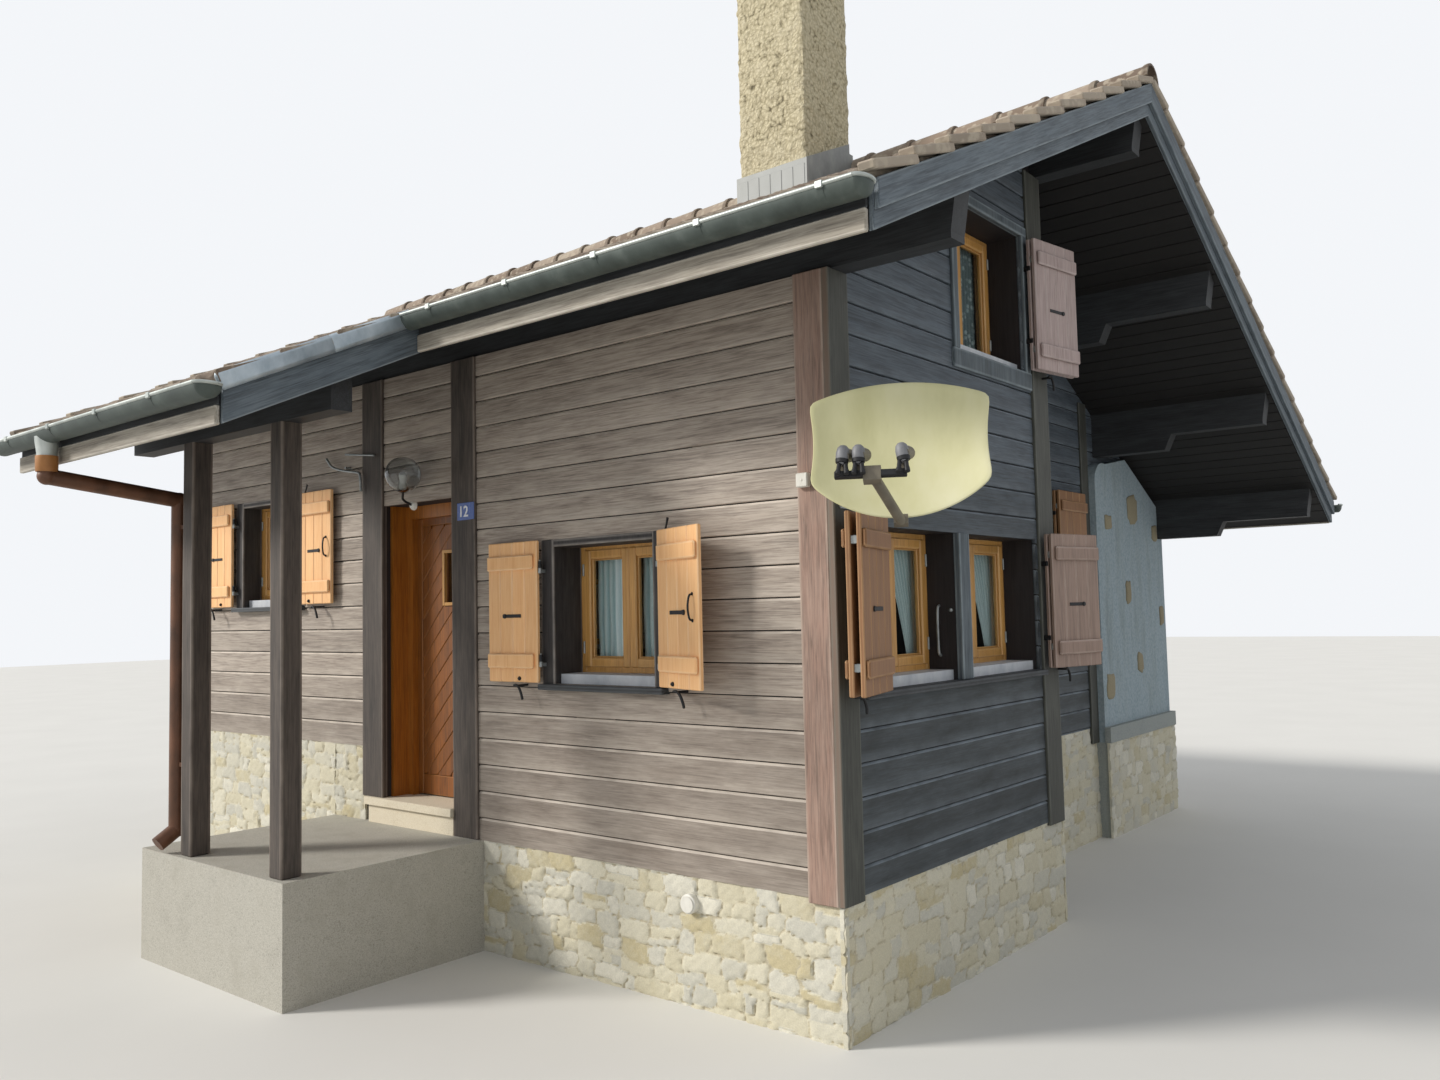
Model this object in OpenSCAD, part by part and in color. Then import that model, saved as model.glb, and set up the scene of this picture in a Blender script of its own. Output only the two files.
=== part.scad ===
// Small alpine chalet: boarded timber walls on a limestone plinth, tiled saddle roof,
// and a porch under a strip of roof that runs on down over the door.
// Millimetres. X runs along the ridge, Y from the entrance side to the back, Z up.
// Lengths are taken from the near corner; z = 0 is the lowest ground at the walls.

/* [House] */
// Length of the house along the ridge
house_l = 6350; // [6000:50:8000]
// Depth of the house from the entrance side to the back
house_d = 6850; // [6200:50:8000]
// Depth of the part of the near gable that stands forward
bay_d = 2500; // [2400:20:2800]
// How far that part stands forward of the rest of the gable
bay_out = 750; // [400:10:1200]
// Thickness of the walls
wall_t = 300; // [240:10:400]
// Foot of the boards at the near corner, above the lowest ground
plinth_h = 650; // [400:10:900]
// Foot of the boards left of the door, at the back and at the far gable
high_plinth_h = 1140; // [900:10:1250]
// Depth that vertical trim boards stand proud of the wall
trim_t = 38; // [30:2:60]

/* [Floors] */
// Top of the ground floor
floor_top = 816; // [760:2:900]
// Thickness of the ground floor
floor_t = 150; // [100:10:200]
// Top of the attic floor
attic_top = 3040; // [2900:10:3150]
// Thickness of the attic floor
attic_t = 140; // [100:10:200]

/* [Roof] */
// Pitch of the roof in degrees
pitch = 25.3; // [20:0.1:30]
// Underside of the roof at the ridge
ridge_z = 4981; // [4700:1:5400]
// Thickness of the boarded deck, square to the slope
deck_t = 170; // [120:5:220]
// Thickness of the tile covering, square to the slope
tile_t = 45; // [30:5:70]
// Overhang past both gables
verge_out = 730; // [500:10:900]
// Overhang past the entrance wall
eave_out = 800; // [600:10:1000]
// Overhang past the back wall
back_eave_out = 470; // [300:10:1000]
// Right edge of the porch roof, left of the near corner
porch_roof_right = 2090; // [1800:10:2300]
// Left edge of the porch roof, left of the near corner
porch_roof_left = 4450; // [4200:10:5000]
// Overhang of the porch roof past the entrance wall
porch_roof_out = 1880; // [1600:10:2100]

/* [Roof timbers] */
// Width of a purlin
purlin_w = 130; // [100:5:180]
// Height of a purlin
purlin_h = 195; // [150:5:300]
// Spacing of the purlins behind the ridge
purlin_gap = 1430; // [1200:10:1450]
// Thickness of a barge board
barge_t = 25; // [20:1:35]
// Height of the barge boards, square to the slope
barge_h = 180; // [150:5:240]
// Height of the cover board over the top of a barge board
barge_cover_h = 110; // [80:5:150]

/* [Porch] */
// Top of the porch slab above the lowest ground
slab_top = 650; // [500:10:700]
// Right edge of the slab, left of the near corner
slab_right = 2550; // [2400:10:2580]
// Left edge of the slab, left of the near corner
slab_left = 4150; // [4000:10:4400]
// Front edge of the slab, in front of the wall
slab_out = 1310; // [1200:10:1500]
// Side of a porch post
post_w = 120; // [90:5:160]
// Centre of the right post, left of the near corner
post_right = 2680; // [2640:5:2760]
// Centre of the left post, left of the near corner
post_left = 3670; // [3500:5:3900]
// Distance of the post line in front of the wall
post_out = 1220; // [1100:5:1240]
// Height of the beam on the posts
beam_h = 140; // [100:5:200]

/* [Door] */
// Left edge of the doorway in the wall, left of the near corner
door_left = 3575; // [3500:5:3620]
// Right edge of the doorway in the wall, left of the near corner
door_right = 2715; // [2700:5:2760]
// Head of the doorway
door_top = 2745; // [2700:5:2850]
// Depth of the door frame behind the wall face
door_setback = 155; // [120:5:180]
// Thickness of the door leaf
leaf_t = 45; // [35:1:60]
// Width of the board at each side of the doorway
door_post_w = 230; // [180:5:260]

/* [Windows] */
// Depth of the window frames behind the wall face
window_setback = 200; // [150:5:220]
// Depth of a window frame
frame_d = 60; // [50:1:80]
// Face width of a window frame
frame_w = 42; // [35:1:60]
// Face width of a casement
casement_w = 48; // [35:1:60]
// Thickness of the glass
glass_t = 12; // [6:1:20]
// Height of the pale sill block under each frame
sill_h = 55; // [30:1:80]

/* [Shutters] */
// Thickness of the shutter boards
board_t = 24; // [18:1:30]
// Thickness of the battens across a shutter
batten_t = 20; // [15:1:28]
// Height of a batten
batten_h = 85; // [60:5:120]
// Gap between an open shutter and the wall boards
shutter_gap = 52; // [45:1:70]
// Diameter of a hinge pin
pin_d = 10; // [8:1:14]
// Clearance round a hinge pin
pin_clear = 0.3; // [0.2:0.1:0.8]

/* [Chimney] */
// Side of the square chimney
stack_w = 560; // [450:10:700]
// Right face of the chimney, left of the near corner
stack_right = 1350; // [1200:10:1500]
// Front face of the chimney, behind the entrance wall
stack_front = 1850; // [1500:10:1850]
// Top of the masonry
stack_top = 6600; // [5900:50:7200]

/* [Hidden] */

$fn = 48;

// The model's origin lies under the near corner, this far in from both faces
origin_in = 150;
// Small overlap that keeps cuts clean
cut = 5;

slope = tan(pitch);
slant = cos(pitch);
deck_v = deck_t / slant;
tile_v = tile_t / slant;
barge_v = barge_h / slant;
cover_v = barge_cover_h / slant;
ridge_y = bay_d;
recess_x = -bay_out;

// Underside of the roof at a distance y behind the entrance wall
function soffit(y) = ridge_z - slope * abs(y - ridge_y);

// Outer edges of the wall plates, and the tops of the walls that carry them
front_plate_y = 60;
back_plate_y = house_d - 65;
front_wall_top = floor(soffit(front_plate_y - purlin_w / 2) - purlin_h);
back_wall_top = floor(soffit(back_plate_y + purlin_w / 2) - purlin_h);
// Hair gap under each sloped layer of the roof
seat = 0.3;

near_verge_x = verge_out;
far_verge_x = -house_l - verge_out;
back_eave_y = house_d + back_eave_out;

// The attic floor runs to the back wall, or to where the roof comes down on it
attic_back = min(house_d - wall_t, ridge_y + (ridge_z - seat - attic_top) / slope);
// The back windows stand under the back wall's top
back_window_h = 780;
back_window_foot = min(1600, back_wall_top - back_window_h - 60);

// Windows: wall, left edge along the wall seen from outside, foot, width, height, casements
front_window = ["front", -1960, 1600, 900, 795, 2];
porch_window = ["front", -5480, 2100, 910, 780, 2];
bay_window_left = ["bay", 270, 1590, 930, 805, 2];
bay_window_right = ["bay", 1317, 1590, 933, 805, 2];
attic_window = ["bay", 1300, 3440, 890, 870, 2];
recess_window = ["recess", 3700, 2090, 560, 800, 1];
back_window_left = ["back", 1200, back_window_foot, 910, back_window_h, 2];
back_window_right = ["back", house_l - 2110, back_window_foot, 910, back_window_h, 2];
far_window = ["far", -house_d + 2200, 1600, 910, 780, 2];
far_attic_window = ["far", -2970, 3440, 940, 800, 1];
WINDOWS = [
    front_window, porch_window, bay_window_left, bay_window_right, attic_window,
    recess_window, back_window_left, back_window_right, far_window, far_attic_window
];

function win_wall(w) = w[0];
function win_x(w) = w[1];
function win_z(w) = w[2];
function win_w(w) = w[3];
function win_h(w) = w[4];
function win_leaves(w) = w[5];

door_post_left = door_left + door_post_w - 15;
door_post_right = door_right + 100;

// Moves the origin from the near corner to the point under the wall
module placed() {
    translate([origin_in, -origin_in, 0]) children();
}

// A box from its low corner to its high corner
module block(low, high) {
    translate(low) cube(high - low);
}

// Turns a drawing with x along the wall, y into the wall and z up onto that wall
module on_wall(wall) {
    if (wall == "front") children();
    if (wall == "bay") rotate([0, 0, 90]) children();
    if (wall == "recess") translate([recess_x, 0, 0]) rotate([0, 0, 90]) children();
    if (wall == "back") translate([0, house_d, 0]) rotate([0, 0, 180]) children();
    if (wall == "far") translate([-house_l, 0, 0]) rotate([0, 0, -90]) children();
}

// Extrudes an outline drawn in y and z from x0 to x1
module along_x(x0, x1) {
    translate([x0, 0, 0]) rotate([90, 0, 90]) linear_extrude(x1 - x0) children();
}

// Extrudes an outline drawn in x and z from y0 to y1
module along_y(y0, y1) {
    translate([0, y1, 0]) rotate([90, 0, 0]) linear_extrude(y1 - y0) children();
}

// Cuts every window of one wall through whatever is given
module with_windows(wall) {
    difference() {
        children();
        for (w = WINDOWS) {
            if (win_wall(w) == wall) {
                on_wall(wall) block([win_x(w), -cut, win_z(w)],
                                    [win_x(w) + win_w(w), wall_t + cut, win_z(w) + win_h(w)]);
            }
        }
    }
}

// Outline of the space under the roof between two distances, down to a level
module under_roof(y0, y1, z0) {
    ridge = y0 < ridge_y && y1 > ridge_y ? [[ridge_y, ridge_z]] : [];
    polygon(concat([[y0, z0], [y1, z0], [y1, soffit(y1)]], ridge, [[y0, soffit(y0)]]));
}

// Band between two heights above the underside of the roof, on one slope
module slope_band(y0, y1, low, high) {
    polygon([[y0, soffit(y0) + low], [y1, soffit(y1) + low],
             [y1, soffit(y1) + high], [y0, soffit(y0) + high]]);
}

// Plinth

module plinth_bay() {
    color("#cfc8ae") union() {
        block([-door_post_left, 0, 0], [0, wall_t, plinth_h]);
        block([-wall_t, 0, 0], [0, bay_d, plinth_h]);
        block([recess_x - wall_t, bay_d - wall_t, 0], [0, bay_d, plinth_h]);
    }
}

module plinth_porch() {
    color("#cfc8ae")
        block([-house_l, 0, 0], [-door_post_left, wall_t, high_plinth_h]);
}

module plinth_rear() {
    color("#cfc8ae") union() {
        block([recess_x - wall_t, bay_d, 0], [recess_x, masonry_y, recess_foot]);
        block([-house_l, house_d - wall_t, 0], [recess_x - wall_t, house_d, high_plinth_h]);
        block([-house_l, wall_t, 0], [-house_l + wall_t, house_d, high_plinth_h]);
    }
}

// Floors

module ground_floor() {
    color("#8a7a66") difference() {
        block([-house_l + wall_t, wall_t, floor_top - floor_t],
              [-wall_t, house_d - wall_t, floor_top]);
        block([recess_x - wall_t, bay_d - wall_t, 0], [cut, house_d, floor_top + cut]);
    }
}

module attic_floor() {
    color("#8a6b48") difference() {
        block([-house_l + wall_t, wall_t, attic_top - attic_t],
              [-wall_t, attic_back, attic_top]);
        block([recess_x - wall_t, bay_d - wall_t, 0], [cut, house_d, attic_top + cut]);
        stack_block();
    }
}

// Walls

module front_wall_right() {
    color("#3d2f28") with_windows("front")
        block([-door_right, 0, plinth_h], [-wall_t, wall_t, front_wall_top]);
}

module front_wall_left() {
    color("#3d2f28") with_windows("front") union() {
        block([-house_l + wall_t, 0, high_plinth_h], [-door_left, wall_t, front_wall_top]);
        block([-door_post_left, 0, plinth_h], [-door_left, wall_t, high_plinth_h]);
    }
}

module front_wall_over_door() {
    color("#3d2f28") block([-door_left, 0, door_top], [-door_right, wall_t, front_wall_top]);
}

module bay_gable_wall() {
    color("#3a3833") difference() {
        with_windows("bay") along_x(-wall_t, 0) under_roof(0, bay_d, plinth_h);
        purlin_spaces();
    }
}

module bay_return_wall() {
    color("#33302c") difference() {
        along_x(recess_x - wall_t, -wall_t) under_roof(bay_d - wall_t, bay_d, plinth_h);
        purlin_spaces();
    }
}

module recessed_gable_wall() {
    color("#2e2c2a") difference() {
        with_windows("recess")
            along_x(recess_x - wall_t, recess_x) under_roof(bay_d, house_d, recess_foot);
        masonry_shape(cut);
        purlin_spaces();
    }
}

module back_wall() {
    color("#3d2f28") with_windows("back")
        block([-house_l + wall_t, house_d - wall_t, high_plinth_h],
              [recess_x - wall_t, house_d, back_wall_top]);
}

module far_gable_wall() {
    color("#3d2f28") difference() {
        with_windows("far")
            along_x(-house_l, -house_l + wall_t) under_roof(0, house_d, high_plinth_h);
        purlin_spaces();
    }
}

// The masonry part of the recessed gable

masonry_y = 5130;
masonry_proud = 90;
masonry_top = 3220;
masonry_crown_y = 5900;
masonry_under_roof = 75;
masonry_round = 200;
recess_foot = 800;
coping_low = 800;
coping_high = 930;
coping_proud = 140;

// Points along an arc, from one angle to another
function arc(centre, r, a0, a1, steps = 8) =
    [for (i = [0 : steps]) centre + r * [cos(a0 + (a1 - a0) * i / steps),
                                         sin(a0 + (a1 - a0) * i / steps)]];

// The masonry stands up to a rounded shoulder and then runs down close under the roof
module masonry_outline() {
    polygon(concat(
        [[masonry_y, coping_low], [house_d, coping_low],
         [house_d, soffit(house_d) - masonry_under_roof],
         [masonry_crown_y, soffit(masonry_crown_y) - masonry_under_roof]],
        arc([masonry_y + masonry_round, masonry_top - masonry_round], masonry_round, 75, 180)));
}

module masonry_shape(extra) {
    difference() {
        along_x(recess_x - wall_t - extra, recess_x + masonry_proud + extra)
            masonry_outline();
        plate_slots();
    }
}

module masonry_breast() {
    color("#8f9595") masonry_shape(0);
}

module masonry_base() {
    color("#cfc8ae") union() {
        block([recess_x - wall_t, masonry_y, 0],
              [recess_x + masonry_proud + 20, house_d, coping_low]);
        block([recess_x + masonry_proud, masonry_y - 15, coping_low],
              [recess_x + coping_proud, house_d + 15, coping_high]);
    }
}

// Trim boards

// A trim board on a gable wall, its top cut to the roof and round the purlins
module gable_trim(x, y0, y1, foot) {
    difference() {
        along_x(x, x + trim_t) under_roof(y0, y1, foot);
        purlin_spaces();
    }
}

corner_board_w = 168;
corner_side_w = 135;
bay_trim_w = 220;
recess_trim_w = 150;

module corner_boards() {
    color("#5a3430") block([-corner_board_w, -trim_t, plinth_h - 20], [0, 0, front_wall_top]);
    color("#3b3d3e") gable_trim(0, -trim_t, corner_side_w, plinth_h - 20);
    color("#38393a") gable_trim(0, bay_d - bay_trim_w, bay_d, plinth_h - 20);
    color("#2e2f30") gable_trim(recess_x, masonry_y - recess_trim_w, masonry_y, recess_foot);
    color("#40332c") block([-house_l, -trim_t, high_plinth_h],
                           [-house_l + corner_board_w, 0, front_wall_top]);
}

module door_posts() {
    color("#40332c") {
        block([-door_post_left, -trim_t, floor_top],
              [-door_post_left + door_post_w, 0, front_wall_top]);
        block([-door_post_right, -trim_t, plinth_h],
              [-door_post_right + door_post_w, 0, front_wall_top]);
    }
}

// Casing boards round the attic window, and the post between the two bay windows
module window_casings() {
    w = attic_window;
    color("#4a5054") union() {
        on_wall("bay") difference() {
            block([win_x(w) - 60, -trim_t, win_z(w) - 110],
                  [win_x(w) + win_w(w) + 60, 0, win_z(w) + win_h(w) + 60]);
            block([win_x(w), -trim_t - cut, win_z(w)],
                  [win_x(w) + win_w(w), cut, win_z(w) + win_h(w)]);
        }
    }
    color("#4a5054") on_wall("bay")
        block([win_x(bay_window_left) + win_w(bay_window_left), -trim_t, win_z(bay_window_left)],
              [win_x(bay_window_right), 0, win_z(bay_window_left) + win_h(bay_window_left)]);
}

// Roof timbers

upper_purlin_y = ridge_y + purlin_gap;
lower_purlin_y = ridge_y + 2 * purlin_gap;

// Cross-section of a purlin: flat foot, top cut to the roof
module purlin_section(y, h) {
    y0 = y - purlin_w / 2;
    y1 = y + purlin_w / 2;
    foot = min(soffit(y0), soffit(y1)) - h;
    under_roof(y0, y1, foot);
}

// A purlin with its near end cut back on a slant
module purlin(y, h, near = near_verge_x - 15, far = far_verge_x + 15) {
    intersection() {
        along_x(far, near) purlin_section(y, h);
        along_y(y - purlin_w, y + purlin_w) polygon([
            [far, 0], [near - 50, 0], [near - 50, soffit(y) - h],
            [near, soffit(y) + 2 * slope * purlin_w], [far, soffit(y) + 2 * slope * purlin_w]]);
    }
}

module wall_plates() {
    color("#33302c") {
        purlin(front_plate_y, soffit(front_plate_y - purlin_w / 2) - front_wall_top);
        purlin(back_plate_y, soffit(back_plate_y + purlin_w / 2) - back_wall_top);
    }
}

module purlins() {
    color("#33302c") for (y = [ridge_y, upper_purlin_y, lower_purlin_y]) {
        purlin(y, purlin_h);
    }
}

// The slots that the purlins take in the walls, open to the roof
module purlin_slot(y, foot) {
    y0 = y - purlin_w / 2;
    y1 = y + purlin_w / 2;
    along_x(far_verge_x, near_verge_x) polygon([
        [y0, foot], [y1, foot], [y1, soffit(y) + purlin_w], [y0, soffit(y) + purlin_w]]);
}

module plate_slots() {
    purlin_slot(front_plate_y, front_wall_top);
    purlin_slot(back_plate_y, back_wall_top);
}

module purlin_spaces() {
    plate_slots();
    for (y = [ridge_y, upper_purlin_y, lower_purlin_y]) {
        purlin_slot(y, soffit(abs(y - ridge_y) + purlin_w / 2 + ridge_y) - purlin_h);
    }
}

corbel_h = 130;
corbel_end = -50;

module purlin_corbels() {
    color("#2b2a29") for (y = [upper_purlin_y, lower_purlin_y]) {
        foot = soffit(y + purlin_w / 2) - purlin_h;
        along_y(y - purlin_w / 2, y + purlin_w / 2) polygon([
            [recess_x, foot - corbel_h], [corbel_end - 60, foot - corbel_h],
            [corbel_end, foot], [recess_x, foot]]);
    }
    color("#2b2a29") along_y(back_plate_y - purlin_w / 2, back_plate_y + purlin_w / 2) polygon([
        [recess_x + masonry_proud, back_wall_top - corbel_h],
        [corbel_end - 60, back_wall_top - corbel_h],
        [corbel_end, back_wall_top], [recess_x + masonry_proud, back_wall_top]]);
}

// Roof

module stack_block() {
    block([-stack_right - stack_w, stack_front, floor_top],
          [-stack_right, stack_front + stack_w, stack_top]);
}

module roof_deck_front() {
    color("#2b2623") difference() {
        union() {
            along_x(far_verge_x, near_verge_x) slope_band(-eave_out, ridge_y, seat, deck_v);
            along_x(-porch_roof_left, -porch_roof_right)
                slope_band(-porch_roof_out, -eave_out, seat, deck_v);
        }
        stack_block();
    }
}

module roof_deck_back() {
    color("#2b2623")
        along_x(far_verge_x, near_verge_x) slope_band(ridge_y, back_eave_y, seat, deck_v);
}

verge_cover = 2 * barge_t + 10;
drip = 30;

module roof_tiles_front() {
    color("#7b6a5c") difference() {
        union() {
            along_x(far_verge_x - verge_cover, near_verge_x + verge_cover)
                slope_band(-eave_out - drip, ridge_y, deck_v + seat, deck_v + tile_v);
            along_x(-porch_roof_left - verge_cover, -porch_roof_right + verge_cover)
                slope_band(-porch_roof_out - drip, -eave_out, deck_v + seat, deck_v + tile_v);
        }
        stack_block();
    }
}

module roof_tiles_back() {
    color("#7b6a5c") along_x(far_verge_x - verge_cover, near_verge_x + verge_cover)
        slope_band(ridge_y, back_eave_y + drip, deck_v + seat, deck_v + tile_v);
}

ridge_tile_r = 120;
ridge_tile_t = 18;

module ridge_tiles() {
    lift = ridge_z + deck_v + tile_v - ridge_tile_r * 0.42;
    color("#6f5f53") difference() {
        along_x(far_verge_x - verge_cover, near_verge_x + verge_cover) difference() {
            translate([ridge_y, lift]) circle(ridge_tile_r);
            translate([ridge_y, lift]) circle(ridge_tile_r - ridge_tile_t);
            translate([ridge_y - 300, lift - 600]) square([600, 600]);
        }
        along_x(far_verge_x - 200, near_verge_x + 200)
            slope_band(-100, ridge_y, 0, deck_v + tile_v + seat);
        along_x(far_verge_x - 200, near_verge_x + 200)
            slope_band(ridge_y, 2 * ridge_y, 0, deck_v + tile_v + seat);
        stack_block();
    }
}

// Boards along the edges of the roof

barge_drop = 10;

// The barge boards of one gable: a full board with a cover board over its top
module barge_pair(x, side) {
    inner = [min(x, x + side * barge_t), max(x, x + side * barge_t)];
    outer = [min(x + side * barge_t, x + 2 * side * barge_t),
             max(x + side * barge_t, x + 2 * side * barge_t)];
    low = deck_v - barge_v;
    along_x(inner[0], inner[1]) slope_band(-eave_out, ridge_y, low, deck_v);
    along_x(inner[0], inner[1]) slope_band(ridge_y, back_eave_y, low, deck_v);
    along_x(outer[0], outer[1]) slope_band(-eave_out, ridge_y, deck_v - cover_v, deck_v);
    along_x(outer[0], outer[1]) slope_band(ridge_y, back_eave_y, deck_v - cover_v, deck_v);
}

module barge_boards() {
    low = deck_v - barge_v;
    color("#5a6268") {
        barge_pair(near_verge_x, 1);
        barge_pair(far_verge_x, -1);
        for (x = [-porch_roof_left - barge_t, -porch_roof_right]) {
            along_x(x, x + barge_t) slope_band(-porch_roof_out, -eave_out, low, deck_v);
        }
    }
}

fascia_h = 190;
fascia_t = 25;

// An upright board under the tiles at an eave
module fascia(x0, x1, y, outward) {
    edge = y + outward * fascia_t;
    top = soffit(edge) + deck_v;
    block([x0, min(y, edge), top - fascia_h], [x1, max(y, edge), top]);
}

module fascia_boards() {
    color("#a39a8c") {
        fascia(-porch_roof_right + barge_t, near_verge_x, -eave_out, -1);
        fascia(far_verge_x, -porch_roof_left - barge_t, -eave_out, -1);
        fascia(-porch_roof_left, -porch_roof_right, -porch_roof_out, -1);
        fascia(far_verge_x, near_verge_x, back_eave_y, 1);
    }
}

gutter_r = 65;
gutter_t = 4;

// A half-round gutter with closed ends, hung against a fascia
module gutter(x0, x1, y, outward) {
    centre = y + outward * (fascia_t + gutter_r);
    rim = soffit(y) + deck_v - 35;
    along_x(x0, x1) difference() {
        translate([centre, rim]) circle(gutter_r);
        translate([centre, rim]) circle(gutter_r - gutter_t);
        translate([centre - 2 * gutter_r, rim]) square([4 * gutter_r, 2 * gutter_r]);
    }
    for (x = [x0, x1 - gutter_t]) {
        along_x(x, x + gutter_t) difference() {
            translate([centre, rim]) circle(gutter_r - gutter_t / 2);
            translate([centre - 2 * gutter_r, rim]) square([4 * gutter_r, 2 * gutter_r]);
        }
    }
}

module gutters() {
    color("#7d8488") {
        gutter(-porch_roof_right + verge_cover, near_verge_x + verge_cover / 2, -eave_out, -1);
        gutter(far_verge_x - verge_cover, -porch_roof_left - verge_cover, -eave_out, -1);
        gutter(-porch_roof_left - verge_cover, -porch_roof_right + verge_cover,
               -porch_roof_out, -1);
        gutter(far_verge_x - verge_cover, near_verge_x + verge_cover, back_eave_y, 1);
    }
}

pipe_d = 90;
pipe_x = -3860;
pipe_y = -1240;

// A round rod between two points
module rod(a, b, d) {
    run = b - a;
    len = norm(run);
    translate(a)
        rotate([0, acos(run[2] / len), atan2(run[1], run[0])])
            cylinder(h = len, d = d);
}

// The pipe from the outlet of the porch gutter to the left post and down to the ground
module downpipe() {
    outlet_y = -porch_roof_out - fascia_t - gutter_r;
    outlet_z = soffit(-porch_roof_out) + deck_v - 35 - gutter_r;
    bend = [pipe_x, pipe_y, 2730];
    neck = [pipe_x, outlet_y, outlet_z - 180];
    shoe = [pipe_x, pipe_y, slab_top + 130];
    color("#6b4a3a") union() {
        rod([pipe_x, outlet_y, outlet_z], neck, pipe_d);
        rod(neck, bend, pipe_d);
        rod(bend, shoe, pipe_d);
        rod(shoe, shoe + [0, -110, -72], pipe_d);
        for (elbow = [neck, bend, shoe]) {
            translate(elbow) sphere(d = pipe_d + 6);
        }
        for (z = [slab_top + 500, beam_foot - 500]) {
            block([pipe_x, pipe_y - 12, z], [-post_left - post_w / 2, pipe_y + 12, z + 24]);
        }
    }
}

// Chimney

module chimney_stack() {
    color("#9a917c") stack_block();
}

module chimney_flashing() {
    collar = 25;
    rise = 190;
    color("#7c7f82") difference() {
        along_x(-stack_right - stack_w - collar, -stack_right + collar)
            slope_band(stack_front - collar, min(stack_front + stack_w + collar, ridge_y - 120),
                       deck_v + tile_v + seat, deck_v + tile_v + rise);
        stack_block();
    }
}

module chimney_coping() {
    lip = 50;
    thick = 80;
    color("#8c877b") block([-stack_right - stack_w - lip, stack_front - lip, stack_top],
                           [-stack_right + lip, stack_front + stack_w + lip, stack_top + thick]);
}

// Porch

module porch_slab() {
    color("#b3aca0") block([-slab_left, -slab_out, 0], [-slab_right, 0, slab_top]);
}

step_out = 60;
step_left = 3740;
nosing = 22;
tread_t = 50;

module door_step() {
    color("#d8cfb8") union() {
        block([-step_left + nosing, -step_out + nosing, slab_top],
              [-door_post_right, 0, floor_top - tread_t]);
        block([-step_left, -step_out, floor_top - tread_t], [-door_post_right, 0, floor_top]);
        block([-door_left, 0, plinth_h], [-door_right, wall_t, floor_top]);
    }
}

module porch_posts() {
    color("#2e2926") for (x = [-post_left, -post_right]) {
        block([x - post_w / 2, -post_out - post_w / 2, slab_top],
              [x + post_w / 2, -post_out + post_w / 2, beam_foot]);
    }
}

beam_foot = soffit(-post_out - post_w / 2) - beam_h;

module porch_beam() {
    color("#2e2926") along_x(-porch_roof_left + 60, -porch_roof_right - 60)
        under_roof(-post_out - post_w / 2, -post_out + post_w / 2, beam_foot);
}

// Door

jamb_w = 60;
stop_w = 85;
stop_t = 50;
run_gap = 5;
leaf_left = -door_left + jamb_w + run_gap;
leaf_right = -door_right - jamb_w - run_gap;
leaf_foot = floor_top + 8;
leaf_top = door_top - jamb_w - run_gap;
leaf_y = door_setback + stop_t + run_gap;
hinge_x = leaf_left - 4;
hinge_y = leaf_y + leaf_t + 12;
hinge_levels = [floor_top + 250, leaf_top - 250];
knuckle_d = 18;
knuckle_h = 50;
slot_x = leaf_right - 190;
slot_w = 60;
slot_foot = 2110;
slot_h = 320;

module door_frame() {
    color("#a5672b") union() {
        difference() {
            block([-door_left, door_setback, floor_top], [-door_right, leaf_y + leaf_t, door_top]);
            block([-door_left + jamb_w, leaf_y - run_gap, floor_top - cut],
                  [-door_right - jamb_w, wall_t, door_top - jamb_w]);
            block([-door_left + stop_w, 0, floor_top - cut],
                  [-door_right - stop_w, wall_t, door_top - stop_w]);
        }
        block([-door_left, 40, floor_top], [-door_left + 30, door_setback, door_top]);
        block([-door_right - 30, 40, floor_top], [-door_right, door_setback, door_top]);
        for (z = hinge_levels) {
            door_pin(z);
        }
    }
}

// A pin on a plate on the inner face of the frame
module door_pin(z) {
    block([-door_left + 10, leaf_y + leaf_t, z - 30],
          [hinge_x - 2, hinge_y, z - 4]);
    translate([hinge_x, hinge_y, z - 30]) cylinder(h = 26, d = knuckle_d);
    translate([hinge_x, hinge_y, z - 10]) cylinder(h = knuckle_h + 6, d = pin_d);
}

module door_leaf() {
    color("#8f4f1e") difference() {
        union() {
            block([leaf_left, leaf_y, leaf_foot], [leaf_right, leaf_y + leaf_t, leaf_top]);
            for (z = hinge_levels) {
                translate([hinge_x, hinge_y, z]) cylinder(h = knuckle_h, d = knuckle_d);
                block([hinge_x, leaf_y + leaf_t, z], [hinge_x + 60, hinge_y - 3, z + knuckle_h]);
            }
        }
        block([slot_x, 0, slot_foot], [slot_x + slot_w, wall_t, slot_foot + slot_h]);
        for (z = hinge_levels) {
            translate([hinge_x, hinge_y, z - cut])
                cylinder(h = knuckle_h + 2 * cut, d = pin_d + 2 * pin_clear);
        }
    }
}

module door_glass() {
    color("#c9d2c4") block([slot_x, leaf_y + 16, slot_foot],
                           [slot_x + slot_w, leaf_y + 16 + glass_t, slot_foot + slot_h]);
}

// Windows

// A rectangular ring of bars
module ring(x, z, w, h, bar, y0, y1) {
    difference() {
        block([x, y0, z], [x + w, y1, z + h]);
        block([x + bar, y0 - cut, z + bar], [x + w - bar, y1 + cut, z + h - bar]);
    }
}

function frame_z(w) = win_z(w) + sill_h;
function frame_h(w) = win_h(w) - sill_h;
function leaf_wide(w) = (win_w(w) - 2 * frame_w) / win_leaves(w);
function leaf_x(w, i) = win_x(w) + frame_w + i * leaf_wide(w);

module window_frames() {
    color("#b87a33") for (w = WINDOWS) {
        on_wall(win_wall(w)) ring(win_x(w), frame_z(w), win_w(w), frame_h(w), frame_w,
                                  window_setback, window_setback + frame_d);
    }
}

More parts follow.
